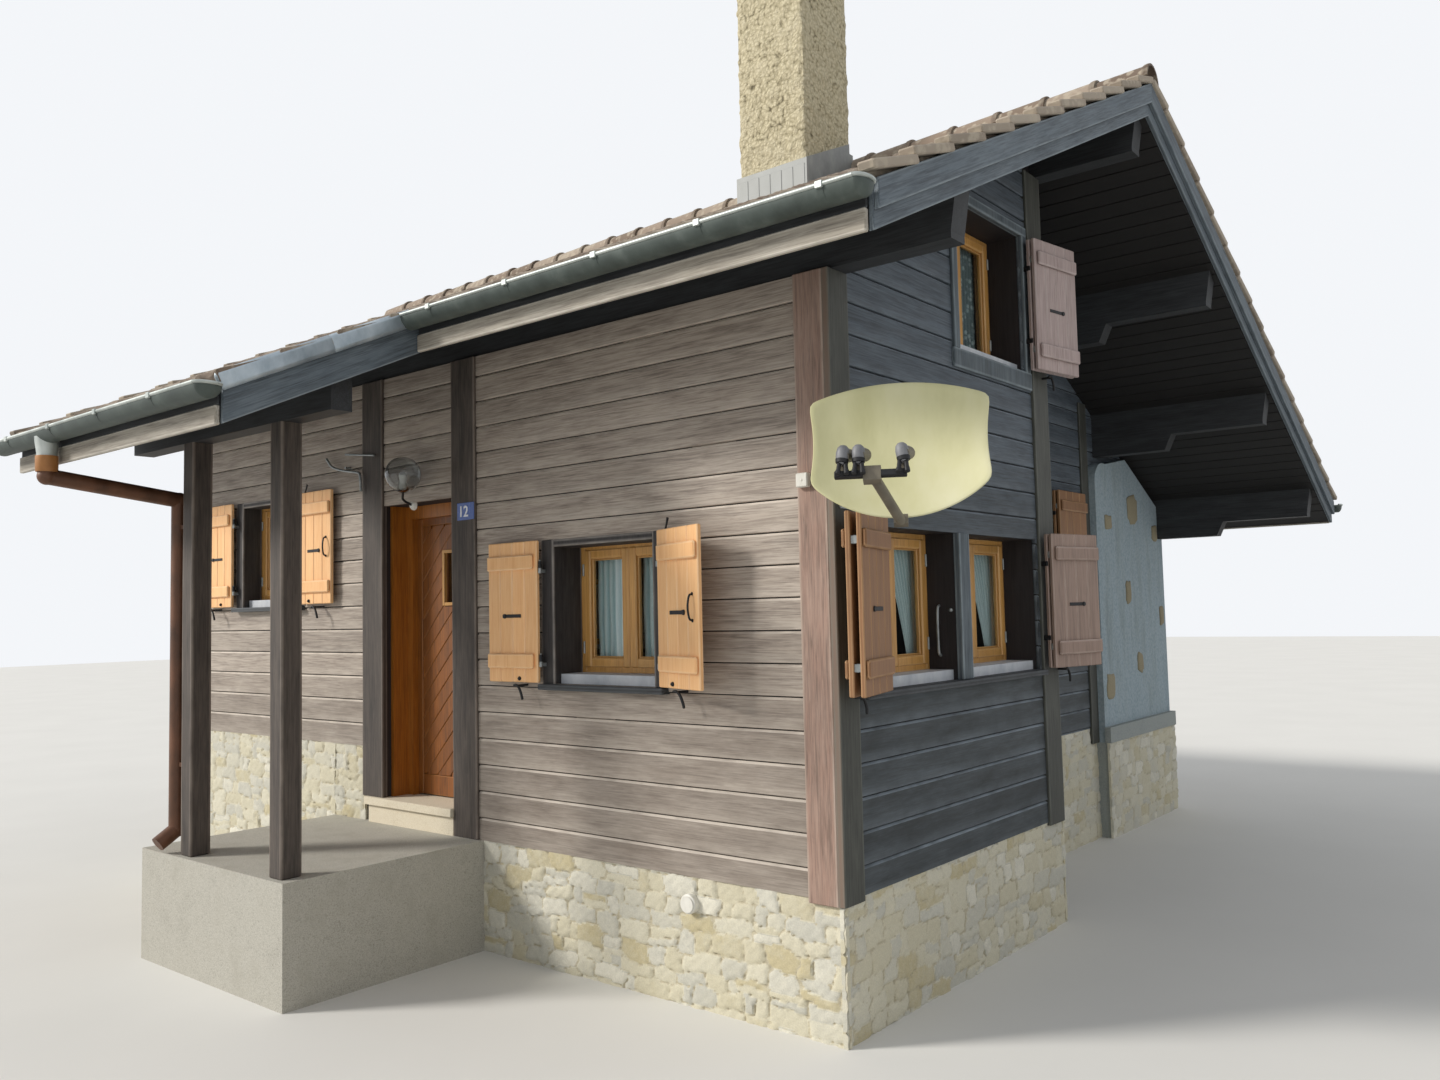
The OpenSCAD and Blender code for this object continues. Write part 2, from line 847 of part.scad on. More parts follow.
module window_casements() {
    color("#c4863a") for (w = WINDOWS) {
        for (i = [0 : win_leaves(w) - 1]) {
            on_wall(win_wall(w))
                ring(leaf_x(w, i), frame_z(w) + frame_w, leaf_wide(w), frame_h(w) - 2 * frame_w,
                     casement_w, window_setback + 8, window_setback + frame_d);
        }
    }
}

module window_panes() {
    color("#9fb3ad") for (w = WINDOWS) {
        for (i = [0 : win_leaves(w) - 1]) {
            on_wall(win_wall(w))
                block([leaf_x(w, i) + casement_w, window_setback + 26,
                       frame_z(w) + frame_w + casement_w],
                      [leaf_x(w, i) + leaf_wide(w) - casement_w, window_setback + 26 + glass_t,
                       frame_z(w) + frame_h(w) - frame_w - casement_w]);
        }
    }
}

// The pale blocks that the frames stand on
module window_sills() {
    color("#d3d6d4") for (w = WINDOWS) {
        on_wall(win_wall(w)) block([win_x(w), 25, win_z(w)],
                                   [win_x(w) + win_w(w), window_setback + frame_d, frame_z(w)]);
    }
}

ledge_out = 75;
ledge_h = 32;
ledge_past = 30;

// A timber ledge under one window, or under two that stand side by side
module ledge(wall, x0, x1, z) {
    on_wall(wall) block([x0 - ledge_past, -ledge_out, z - ledge_h], [x1 + ledge_past, 0, z]);
}

module window_ledges() {
    single = [front_window, porch_window, recess_window, back_window_left, back_window_right,
              far_window, far_attic_window];
    color("#3a302b") {
        for (w = single) {
            ledge(win_wall(w), win_x(w), win_x(w) + win_w(w), win_z(w));
        }
        ledge("bay", corner_side_w + ledge_past, bay_d - bay_trim_w - ledge_past,
              win_z(bay_window_left));
    }
}

// Shutters

leaf_gap = 20;
axis_out = shutter_gap + board_t / 2;
axis_side = 6;
strap_t = 5;
shutter_knuckle_d = 20;
shutter_knuckle_h = 40;
leaf_start = shutter_knuckle_d / 2 + 5;

function shutter_w(w) = win_w(w) / 2 - leaf_gap / 2 - leaf_start + axis_side;
function shutter_z(w) = win_z(w) + 8;
function shutter_h(w) = win_h(w) + 20;
function pin_levels(w) = [shutter_z(w) + 120, shutter_z(w) + shutter_h(w) - 120 - 40];

// A boarded leaf that runs along +x from its hinge axis, its battens towards -y
module shutter_leaf(w) {
    wide = shutter_w(w);
    near = leaf_start;
    difference() {
        union() {
            block([near, -board_t / 2, shutter_z(w)],
                  [near + wide, board_t / 2, shutter_z(w) + shutter_h(w)]);
            for (z = [shutter_z(w) + 80, shutter_z(w) + shutter_h(w) - 80 - batten_h]) {
                block([near + 25, -board_t / 2 - batten_t, z],
                      [near + wide - 8, -board_t / 2, z + batten_h]);
            }
            for (z = pin_levels(w)) {
                translate([0, 0, z]) cylinder(h = shutter_knuckle_h, d = shutter_knuckle_d);
                block([0, board_t / 2 - 6, z], [near + 2, board_t / 2 - 6 + strap_t,
                                               z + shutter_knuckle_h]);
                block([near - 1, board_t / 2, z],
                      [near + wide * 0.8, board_t / 2 + strap_t, z + shutter_knuckle_h]);
            }
        }
        for (z = pin_levels(w)) {
            translate([0, 0, z - cut])
                cylinder(h = shutter_knuckle_h + 2 * cut, d = pin_d + 2 * pin_clear);
        }
    }
}

// Places a leaf at its hinge; side -1 is the left leaf, 1 the right; swing is how far it
// stands off its fully open place
module hung_shutter(w, side, swing) {
    x = side < 0 ? win_x(w) - axis_side : win_x(w) + win_w(w) + axis_side;
    on_wall(win_wall(w)) translate([x, -axis_out, 0]) rotate([0, 0, -side * swing])
        if (side > 0) {
            shutter_leaf(w);
        } else {
            mirror([1, 0, 0]) shutter_leaf(w);
        }
}

front_right_swing = 20;

module shutter_front_left() {
    color("#b8703c") hung_shutter(front_window, -1, 0);
}

module shutter_front_right() {
    color("#b8703c") hung_shutter(front_window, 1, front_right_swing);
}

module shutter_porch_left() {
    color("#b8703c") hung_shutter(porch_window, -1, 0);
}

module shutter_porch_right() {
    color("#b8703c") hung_shutter(porch_window, 1, 0);
}

// A pin on a plate in the wall below each knuckle
module wall_pin(w, side, z) {
    x = side < 0 ? win_x(w) - axis_side : win_x(w) + win_w(w) + axis_side;
    on_wall(win_wall(w)) {
        translate([x, -axis_out, z - 30]) cylinder(h = 29, d = shutter_knuckle_d);
        translate([x, -axis_out, z - 2]) cylinder(h = shutter_knuckle_h + 8, d = pin_d);
        block([x - 5, -axis_out, z - 28], [x + 5, 0, z - 8]);
    }
}

module shutter_pins() {
    color("#303336") for (w = [front_window, porch_window]) {
        for (side = [-1, 1]) {
            for (z = pin_levels(w)) {
                wall_pin(w, side, z);
            }
        }
    }
}

fold_off = 60;

// A double leaf folded on itself, standing open. It runs from its hinges at x, to the right
// along the wall or to the left, with this much between its two layers.
module folded_leaf(wall, x, z, wide, h, swing, seated, side = 1, fold_gap = 12) {
    step = board_t + fold_gap;
    on_wall(wall) translate([x, -fold_off, 0]) mirror([side < 0 ? 1 : 0, 0, 0]) {
        rotate([0, 0, -swing]) {
            for (layer = [0, 1]) {
                block([0, -layer * step - board_t, z], [wide, -layer * step, z + h]);
            }
            for (level = [z + 110, z + h - 150]) {
                block([wide - 40, -step, level], [wide - 4, -board_t, level + 40]);
                block([6, -step, level], [30, -board_t, level + 40]);
            }
            for (level = [z + 80, z + h - 80 - batten_h]) {
                block([25, -step - board_t - batten_t, level],
                      [wide - 8, -step - board_t, level + batten_h]);
                block([25, 0, level], [wide - 8, batten_t, level + batten_h]);
            }
        }
        for (level = [z + 170, z + h - 200]) {
            block([-4, -board_t, level], [8, fold_off - seated, level + 30]);
        }
    }
}

module folded_shutters() {
    bay_leaf_foot = win_z(bay_window_left) + 8;
    color("#b8703c") {
        folded_leaf("bay", win_x(bay_window_left) - 10, bay_leaf_foot, 460, 830, 15.5, 0, -1, 30);
        folded_leaf("bay", 2286, bay_leaf_foot, 470, 830, 14, trim_t);
        folded_leaf("bay", 2195, win_z(attic_window) + 8, 460, 830, 10, trim_t);
        folded_leaf("recess", 4268, win_z(recess_window) + 8, 560, 810, 0, 0);
    }
}

// Things fixed to the walls

dish_w = 784;
dish_waist = 736;
dish_top = 332;
dish_foot = 300;
dish_r = 1150;
dish_t = 8;
dish_at = [441, -120, 2651];
dish_turn = 28;
dish_tilt = 18;
dish_foot_y = 47.5;
rim_sides = 180;

// Places a drawing whose z axis looks out of the bowl
module at_dish() {
    translate(dish_at) rotate([90 - dish_tilt, 0, dish_turn]) children();
}

// A point of that drawing, seen from the near corner
function dish_point(p) =
    let (a = 90 - dish_tilt,
         y = p[1] * cos(a) - p[2] * sin(a),
         z = p[1] * sin(a) + p[2] * cos(a))
    dish_at + [p[0] * cos(dish_turn) - y * sin(dish_turn),
               p[0] * sin(dish_turn) + y * cos(dish_turn), z];

// Radius of an arc over the dish's width that rises by this much
function rise_radius(rise) = (dish_w * dish_w / 4 + rise * rise) / (2 * rise);

module dish() {
    top_r = rise_radius(105);
    foot_r = rise_radius(165);
    waist_r = 900;
    color("#c9c6a2") at_dish() intersection() {
        linear_extrude(400, center = true) difference() {
            intersection() {
                translate([-dish_w / 2, -dish_foot]) square([dish_w, dish_top + dish_foot]);
                translate([0, dish_top - top_r]) circle(top_r, $fn = rim_sides);
                translate([0, foot_r - dish_foot]) circle(foot_r, $fn = rim_sides);
            }
            for (side = [-1, 1]) {
                translate([side * (dish_waist / 2 + waist_r), 30]) circle(waist_r, $fn = rim_sides);
            }
        }
        translate([0, 0, dish_r]) difference() {
            sphere(dish_r + dish_t, $fn = rim_sides);
            sphere(dish_r, $fn = rim_sides);
        }
    }
}

// The arm from the corner board to a boss behind the bowl
module dish_mount() {
    foot = [trim_t, dish_foot_y, 2560];
    knee = foot + [70, 0, 0];
    color("#8d9092") union() {
        block(foot + [0, -44, -100], foot + [8, 44, 100]);
        rod(foot + [4, 0, 0], knee, 34);
        translate(knee - [0, 0, 35]) cylinder(h = 70, d = 52);
        rod(knee, dish_point([0, 0, -45]), 34);
        at_dish() translate([0, 0, -80]) cylinder(h = 80 - dish_t, d = 90);
    }
}

feed_out = 450;
feed_low = -288;
feed_arm_d = 44;
receiver_u = [-208, -145, 27];
receiver_v = -222;
receiver_aim = [0.225, 0.455, -0.861];

// The arm under the bowl with three receivers side by side on a bar at its end
module dish_feed() {
    root = [0, -dish_foot - 28, 54];
    color("#6f7274") at_dish() union() {
        rod([-94, feed_low, feed_out], root, feed_arm_d);
        block([-129, feed_low - 30, feed_out - 35], [-59, feed_low + 30, feed_out + 15]);
        block([-30, -dish_foot - 40, 12], [30, -dish_foot - 0.6, 62]);
        block([-240, feed_low - 12, feed_out - 12], [40, feed_low + 12, feed_out + 12]);
        for (u = receiver_u) {
            back = [u, receiver_v, feed_out + 30];
            rod(back, back + 90 * receiver_aim, 54);
            block([u - 8, feed_low, feed_out - 9], [u + 8, receiver_v, feed_out + 9]);
        }
    }
}

lamp_at = [-3380, -190, 2950];
lamp_foot = [-3260, 0, 2780];

module porch_lamp() {
    color("#d9cfae") union() {
        translate(lamp_at) sphere(d = 280);
        rod(lamp_foot + [0, -25, 0], lamp_at, 14);
        translate(lamp_foot) rotate([90, 0, 0]) cylinder(h = 30, d = 60);
    }
}

module number_plate() {
    color("#2f5aa8") block([-2800, -trim_t - 6, 2600], [-2640, -trim_t, 2715]);
}

placed() plinth_bay();
placed() plinth_porch();
placed() plinth_rear();
placed() ground_floor();
placed() attic_floor();
placed() front_wall_right();
placed() front_wall_left();
placed() front_wall_over_door();
placed() bay_gable_wall();
placed() bay_return_wall();
placed() recessed_gable_wall();
placed() masonry_breast();
placed() masonry_base();
placed() back_wall();
placed() far_gable_wall();
placed() corner_boards();
placed() door_posts();
placed() window_casings();
placed() wall_plates();
placed() purlins();
placed() purlin_corbels();
placed() roof_deck_front();
placed() roof_deck_back();
placed() roof_tiles_front();
placed() roof_tiles_back();
placed() ridge_tiles();
placed() barge_boards();
placed() fascia_boards();
placed() gutters();
placed() downpipe();
placed() chimney_stack();
placed() chimney_flashing();
placed() chimney_coping();
placed() porch_slab();
placed() door_step();
placed() porch_posts();
placed() porch_beam();
placed() door_frame();
placed() door_leaf();
placed() door_glass();
placed() window_frames();
placed() window_casements();
placed() window_panes();
placed() window_sills();
placed() window_ledges();
placed() shutter_front_left();
placed() shutter_front_right();
placed() shutter_porch_left();
placed() shutter_porch_right();
placed() folded_shutters();
placed() shutter_pins();
placed() dish();
placed() dish_mount();
placed() dish_feed();
placed() porch_lamp();
placed() number_plate();
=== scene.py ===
# %% [markdown]
# # A small alpine chalet
#
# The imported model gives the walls, openings, roof planes and hinges. This lesson adds what a
# joiner, a mason and a roofer would still see missing: boards that lap, stones in their mortar,
# tiles that step down the slope, iron on the shutters, cloth behind the glass, and a finish with
# grain and weather on every surface.

# %% Load the frame
import math

import bmesh
import bpy
import numpy as np
from mathutils import Matrix, Vector


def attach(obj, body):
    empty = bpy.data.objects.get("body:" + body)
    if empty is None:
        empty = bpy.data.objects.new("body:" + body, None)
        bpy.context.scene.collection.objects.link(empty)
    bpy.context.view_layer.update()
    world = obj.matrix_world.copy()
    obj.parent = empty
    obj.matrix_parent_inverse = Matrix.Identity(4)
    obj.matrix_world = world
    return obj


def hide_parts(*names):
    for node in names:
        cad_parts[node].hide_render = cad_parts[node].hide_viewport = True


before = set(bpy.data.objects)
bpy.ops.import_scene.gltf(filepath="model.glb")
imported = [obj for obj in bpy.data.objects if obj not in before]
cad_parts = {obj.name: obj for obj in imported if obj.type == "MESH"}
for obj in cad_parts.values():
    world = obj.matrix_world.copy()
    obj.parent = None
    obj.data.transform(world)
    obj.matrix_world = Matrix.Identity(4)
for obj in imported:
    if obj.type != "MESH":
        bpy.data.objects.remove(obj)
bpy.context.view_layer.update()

# %% [markdown]
# ## Millimetres from the near corner
#
# A carpenter measures a house from one corner, so every number here is in millimetres from the
# corner where the entrance wall meets the near gable. Each mesh is turned to metres at the
# moment when it is made, and its object stays at the origin.

# %% Measures of the house
CORNER = np.array([150.0, -150.0, 0.0])
HOUSE_L, HOUSE_D, BAY_D, BAY_OUT, WALL = 6350.0, 6850.0, 2500.0, 750.0, 300.0
PLINTH, HIGH_PLINTH, WALL_TOP = 650.0, 1140.0, 3602.0
PITCH = math.radians(25.3)
SLOPE, SLANT, SINE = math.tan(PITCH), math.cos(PITCH), math.sin(PITCH)
RIDGE_Z, RIDGE_Y = 4981.0, 2500.0
DECK = 170.0 / SLANT
VERGE, EAVE = 730.0, 800.0
FAR_VERGE, BACK_EDGE = -HOUSE_L - VERGE, HOUSE_D + 470.0
PORCH_LEFT, PORCH_RIGHT, PORCH_OUT = -4450.0, -2090.0, 1880.0
COVER = 60.0
OUT_FRONT, UP = (0, -1, 0), (0, 0, 1)


def soffit(y):
    """Underside of the roof: the ridge's height less the slope times the distance from it."""
    return RIDGE_Z - SLOPE * np.abs(np.asarray(y, float) - RIDGE_Y)


def deck_top(y):
    """Top of the roof's deck at one depth."""
    return float(soffit(y)) + DECK


def on_wall(wall, along, out, z):
    """A point by its place along a wall, its distance out of the wall's face, and its height."""
    along, out, z = np.broadcast_arrays(*[np.asarray(v, float) for v in (along, out, z)])
    places = {
        "front": (along, -out),
        "bay": (out, along),
        "recess": (out - BAY_OUT, along),
        "return": (along, BAY_D + out),
        "back": (-along, HOUSE_D + out),
        "far": (-HOUSE_L - out, -along),
    }
    x, y = places[wall]
    return np.stack([x, y, z], -1)


# wall, left edge, foot, width, height, casements
WINDOWS = {
    "front": ("front", -1960, 1600, 900, 795, 2),
    "porch": ("front", -5480, 2100, 910, 780, 2),
    "bay_left": ("bay", 270, 1590, 930, 805, 2),
    "bay_right": ("bay", 1317, 1590, 933, 805, 2),
    "attic": ("bay", 1300, 3440, 890, 870, 2),
    "recess": ("recess", 3700, 2090, 560, 800, 1),
    "back_left": ("back", 1200, 1600, 910, 780, 2),
    "back_right": ("back", 4240, 1600, 910, 780, 2),
    "far": ("far", -4650, 1600, 910, 780, 2),
    "far_attic": ("far", -2970, 3440, 940, 800, 1),
}
print("windows:", len(WINDOWS))

# %% [markdown]
# ## Bodies from arrays
#
# Each new body is a few points worked out by a formula and joined by quads. Two shapes do most
# of the work: a slab between two grids, and a loft through rings. A body may carry marks, such
# as a number for each board, which its material reads later.

# %% Slabs and lofts


def body_of(points, faces, **marks):
    """One closed body: its points, its lists of faces, and a value at each point for each mark."""
    return {"points": np.asarray(points, float), "faces": faces, "marks": marks}


def grid_faces(rows, cols, ring=False):
    """Quads between neighbours of a grid of points; a ring also joins the last column to the first."""
    row = np.arange(rows - 1)[:, None]
    col = np.arange(cols if ring else cols - 1)[None, :]
    right = (col + 1) % cols
    corners = [row * cols + col, row * cols + right, (row + 1) * cols + right, (row + 1) * cols + col]
    return np.stack(corners, -1).reshape(-1, 4)


def slab(top, under, **marks):
    """A closed body between two grids of one shape, with a strip of quads along the four edges."""
    rows, cols = top.shape[:2]
    count = rows * cols
    index = np.arange(count).reshape(rows, cols)
    edge = np.concatenate([index[0, :-1], index[:-1, -1], index[-1, :0:-1], index[:0:-1, 0]])
    after = np.roll(edge, -1)
    quads = grid_faces(rows, cols)
    faces = [quads, quads[:, ::-1] + count, np.stack([edge, edge + count, after + count, after], -1)]
    twice = {k: np.tile(np.broadcast_to(v, (rows, cols)).ravel(), 2) for k, v in marks.items()}
    return body_of(np.concatenate([top.reshape(-1, 3), under.reshape(-1, 3)]), faces, **twice)


def loft(rings, **marks):
    """A closed body through rings of points, with a fan of triangles from the middle of each end."""
    rows, sides = rings.shape[:2]
    count = rows * sides
    here = np.arange(sides)
    after = (here + 1) % sides
    first = np.stack([np.full(sides, count), after, here], -1)
    last = np.stack([np.full(sides, count + 1), count - sides + here, count - sides + after], -1)
    points = np.concatenate([rings.reshape(-1, 3), [rings[0].mean(0), rings[-1].mean(0)]])
    full = {}
    for name, value in marks.items():
        value = np.broadcast_to(value, (rows, sides)).astype(float)
        full[name] = np.concatenate([value.ravel(), [value[0].mean(), value[-1].mean()]])
    return body_of(points, [grid_faces(rows, sides, ring=True), first, last], **full)


def circle_across(run, sides):
    """The points of a unit circle square to each direction in run."""
    side = np.cross(run, [0.31, 0.52, 0.79])
    side /= np.linalg.norm(side, axis=-1, keepdims=True)
    up = np.cross(run, side)
    angle = np.arange(sides)[:, None] * 2 * np.pi / sides
    return side[..., None, :] * np.cos(angle) + up[..., None, :] * np.sin(angle)


def tube(path, radius, sides=10):
    """A round rod: at each point of the path, a circle of that radius square to the path."""
    path = np.asarray(path, float)
    radius = np.broadcast_to(np.asarray(radius, float), (len(path),))
    run = np.gradient(path, axis=0)
    run /= np.linalg.norm(run, axis=1, keepdims=True)
    return loft(path[:, None] + radius[:, None, None] * circle_across(run, sides))


def smooth_path(points, steps=8):
    """A path through points, rounded: each point moves to a running mean of the even steps."""
    points = np.asarray(points, float)
    place = np.linspace(0, len(points) - 1, (len(points) - 1) * steps + 1)
    even = np.stack([np.interp(place, np.arange(len(points)), points[:, k]) for k in range(3)], -1)
    width = max(3, steps // 2 * 2 - 1)
    padded = np.pad(even, ((width // 2, width // 2), (0, 0)), mode="edge")
    rounded = np.stack([np.convolve(padded[:, k], np.ones(width) / width, "valid") for k in range(3)], -1)
    rounded[0], rounded[-1] = even[0], even[-1]
    return rounded


def turned(profile, foot, axis, sides=24):
    """A turned body: each row of the profile is a radius and a height along the axis."""
    axis = np.asarray(axis, float) / np.linalg.norm(axis)
    profile = np.asarray(profile, float)
    rings = np.asarray(foot, float) + profile[:, 1, None, None] * axis
    return loft(rings + profile[:, 0, None, None] * circle_across(axis, sides))


# %% [markdown]
# ## A timber with broken arrises
#
# Sawn wood is never a sharp box. Its edges are planed off or rubbed round, and over a few metres
# it drifts by a millimetre or so. One outline with sixteen corners is carried from end to end;
# the corners beside each arris carry the mark "edge", so that the finish can go pale there: wear
# on most timbers, and a painted highlight on the window linings.

# %% Timber


def timber(start, end, side, up, wide, tall, arris=5.0, seed=0, drift=0.8, wear=12.0):
    """A bar between two points: outline corners on side and up, drawn in at both ends by the
    arris, and moved sideways by a sum of two slow sines of the seed."""
    start, end, side, up = [np.asarray(v, float) for v in (start, end, side, up)]
    rng = np.random.default_rng(seed)
    length = np.linalg.norm(end - start)
    inner = np.linspace(0, 1, max(2, int(length / 350) + 1))
    step = min(0.2, arris / length)
    share = np.concatenate([[0, step], inner[1:-1], [1 - step, 1]])
    wear = min(wear, 0.3 * wide, 0.3 * tall)

    def stops(half):
        return np.array([arris - half, arris - half + wear, half - arris - wear, half - arris])

    flat, rise = stops(wide / 2), stops(tall / 2)
    right, top = np.full(4, wide / 2), np.full(4, tall / 2)
    sides = [(flat, -top), (right, rise), (flat[::-1], top), (-right, rise[::-1])]
    corners = np.concatenate([np.stack(pair, -1) for pair in sides])
    squeeze = np.ones((len(share), 1, 2))
    squeeze[[0, -1], 0] = [1 - 2 * arris / wide, 1 - 2 * arris / tall]
    outline = corners[None] * squeeze
    phase = rng.uniform(0, 6.28, 4)
    far = share * (length / 900)

    def sines(first, second, slow, quick):
        return drift * np.sin(first + far * slow) + 0.5 * drift * np.sin(second + far * quick)

    sway, bow = sines(*phase[:2], 2.1, 5.3), sines(*phase[2:], 1.7, 4.6)
    line = start + share[:, None] * (end - start) + sway[:, None] * side + bow[:, None] * up
    rings = line[:, None] + outline[..., :1] * side + outline[..., 1:] * up
    edge = np.tile([1.0, 0.0, 0.0, 1.0], 4)
    return loft(rings, edge=edge[None], board=rng.uniform(0.05, 1.0))


def beam(low, high, along="x", **options):
    """A timber that fills the box from low to high, with its grain along one axis."""
    low, high = np.asarray(low, float), np.asarray(high, float)
    middle, size = (low + high) / 2, high - low
    axis = "xyz".index(along)
    first, second = [k for k in range(3) if k != axis]
    start, end = middle.copy(), middle.copy()
    start[axis], end[axis] = low[axis], high[axis]
    unit = np.eye(3)
    return timber(start, end, unit[first], unit[second], size[first], size[second], **options)


def strip(low, high, along, arris, wear=1):
    """A dead straight bar, for iron, sheet and glass."""
    return beam(low, high, along, arris=arris, drift=0, wear=wear)


def board_on(wall, u0, u1, out0, out1, z0, z1, grain, **options):
    """A timber by its ends along a wall, its distances out of it, and its heights. Grain "u" runs
    along the wall."""
    a, b = on_wall(wall, u0, out0, z0), on_wall(wall, u1, out1, z1)
    if grain == "u":
        grain = "x" if wall in ("front", "back", "return") else "y"
    return beam(np.minimum(a, b), np.maximum(a, b), grain, **options)


# %% Making a piece
made = []


def piece(name, bodies, finish, smooth=None, replaces=None, rides="house"):
    """Joins bodies into one mesh in metres, turns its faces outwards, and hangs it on a body of
    the frame. smooth is the angle in degrees under which edges are shaded round."""
    points, corners, sizes, start = [], [], [], 0
    marks = sorted({m for b in bodies for m in b["marks"]})
    values = {m: [] for m in marks}
    for b in bodies:
        points.append(b["points"])
        for block in b["faces"]:
            corners.append((block + start).ravel())
            sizes.append(np.full(len(block), block.shape[1]))
        for m in marks:
            values[m].append(b["marks"].get(m, np.zeros(len(b["points"]))))
        start += len(b["points"])
    where = (np.concatenate(points) + CORNER) / 1000.0
    corners, sizes = np.concatenate(corners), np.concatenate(sizes)
    mesh = bpy.data.meshes.new(name)
    mesh.vertices.add(len(where))
    mesh.vertices.foreach_set("co", where.ravel())
    mesh.loops.add(len(corners))
    mesh.loops.foreach_set("vertex_index", corners)
    mesh.polygons.add(len(sizes))
    mesh.polygons.foreach_set("loop_start", np.cumsum(sizes) - sizes)
    mesh.update(calc_edges=True)
    for m in marks:
        layer = mesh.attributes.new(m, "FLOAT", "POINT")
        layer.data.foreach_set("value", np.concatenate(values[m]).astype(np.float32))
    obj = bpy.data.objects.new(name, mesh)
    bpy.context.scene.collection.objects.link(obj)
    turn_outwards(mesh)
    mesh.polygons.foreach_set("use_smooth", np.full(len(sizes), smooth is not None))
    if smooth is not None:
        mesh.set_sharp_from_angle(angle=math.radians(smooth))
    mesh.materials.append(finish)
    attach(obj, rides)
    if replaces:
        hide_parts(replaces)
    triangles = int((sizes - 2).sum())
    made.append((name, triangles))
    print(f"{name}: {len(where)} points, {triangles} triangles")
    return obj


def turn_outwards(mesh):
    """Turns the faces of each closed body of the mesh outwards."""
    work = bmesh.new()
    work.from_mesh(mesh)
    bmesh.ops.recalc_face_normals(work, faces=work.faces)
    work.to_mesh(mesh)
    work.free()


# %% [markdown]
# ## Finishes
#
# A finish is worked out from the real material: its own colours, the size of its grain in
# millimetres, where weather takes colour away, and how rough that leaves it. Colours are written
# as they would be picked from a paint card and turned to linear light by one function. One
# function adds a node; the short ones after it are its most used forms.

# %% Colour and nodes


def paint(code):
    """A colour card's hex code as linear light: each channel c becomes ((c + 0.055) / 1.055)^2.4,
    or c / 12.92 when it is darker than 0.04045."""
    c = np.array([int(code[k:k + 2], 16) for k in (1, 3, 5)]) / 255
    linear = np.where(c <= 0.04045, c / 12.92, ((c + 0.055) / 1.055) ** 2.4)
    return (*[float(v) for v in linear], 1.0)


def fill(node, inputs):
    """Links each input to a socket, or sets its own value."""
    for key, value in inputs.items():
        if isinstance(value, bpy.types.NodeSocket):
            node.id_data.links.new(value, node.inputs[key])
        else:
            node.inputs[key].default_value = value


def add(tree, kind, settings=None, inputs=None):
    """Adds a node, sets its own properties, and fills or links its inputs. The setting "stops" is
    a list of (place, colour code) for a colour ramp."""
    node = tree.nodes.new(kind)
    for key, value in (settings or {}).items():
        if key == "stops":
            colours = node.color_ramp.elements
            while len(colours) < len(value):
                colours.new(0.5)
            for element, (place, code) in zip(colours, value):
                element.position, element.color = place, paint(code)
        else:
            setattr(node, key, value)
    fill(node, inputs or {})
    return node


def mark(tree, name):
    """A number that the mesh carries at its points."""
    return add(tree, "ShaderNodeAttribute", {"attribute_name": name}).outputs["Fac"]


def noise(tree, where, scale, detail, **more):
    """Cloudy noise about a half."""
    inputs = {"Vector": where, "Scale": scale, "Detail": detail, **more}
    return add(tree, "ShaderNodeTexNoise", None, inputs).outputs["Fac"]


def cells(tree, where, scale, feature="SMOOTH_F1", **more):
    """Distance to the nearest of scattered points."""
    inputs = {"Vector": where, "Scale": scale, **more}
    return add(tree, "ShaderNodeTexVoronoi", {"feature": feature}, inputs).outputs["Distance"]


def calc(tree, operation, a, b=0.0, c=0.0, clamp=False):
    """Arithmetic on one value."""
    settings = {"operation": operation, "use_clamp": clamp}
    return add(tree, "ShaderNodeMath", settings, {0: a, 1: b, 2: c}).outputs[0]


def times_plus(tree, a, b, c):
    """a * b + c"""
    return calc(tree, "MULTIPLY_ADD", a, b, c)


def stretched(tree, where, by):
    """Coordinates multiplied by a number for each axis."""
    return add(tree, "ShaderNodeVectorMath", {"operation": "MULTIPLY"}, {0: where, 1: by}).outputs[0]


def slid(tree, where, way, by):
    """Coordinates moved by a vector times a number."""
    shift = add(tree, "ShaderNodeVectorMath", {"operation": "SCALE"}, {0: way, "Scale": by}).outputs[0]
    return add(tree, "ShaderNodeVectorMath", {"operation": "ADD"}, {0: where, 1: shift}).outputs[0]


def remap(tree, value, low=0.0, high=1.0, to_low=0.0, to_high=1.0, soft=False):
    """A value carried from one range to another and held inside it; soft eases both ends."""
    settings = {"interpolation_type": "SMOOTHSTEP" if soft else "LINEAR"}
    inputs = {"Value": value, "From Min": low, "From Max": high, "To Min": to_low, "To Max": to_high}
    return add(tree, "ShaderNodeMapRange", settings, inputs).outputs[0]


def blend(tree, share, first, second):
    """The first colour turning into the second by a share; either may be a colour code."""
    first, second = [paint(c) if isinstance(c, str) else c for c in (first, second)]
    inputs = {"Factor": share, 6: first, 7: second}
    return add(tree, "ShaderNodeMix", {"data_type": "RGBA"}, inputs).outputs[2]


def ramp(tree, value, stops):
    """A colour picked from stops by a value."""
    return add(tree, "ShaderNodeValToRGB", {"stops": stops}, {"Fac": value}).outputs["Color"]


def lit(tree, level, colour):
    """A colour made darker or brighter."""
    return add(tree, "ShaderNodeHueSaturation", None, {"Value": level, "Color": colour}).outputs["Color"]


def new_finish(name):
    """An empty material with its tree, its shader and the Object coordinates its patterns read."""
    material = bpy.data.materials.new(name)
    material.use_nodes = True
    tree = material.node_tree
    tree.nodes.clear()
    shader = add(tree, "ShaderNodeBsdfPrincipled")
    add(tree, "ShaderNodeOutputMaterial", None, {"Surface": shader.outputs["BSDF"]})
    place = add(tree, "ShaderNodeTexCoord").outputs["Object"]
    return material, tree, shader, place


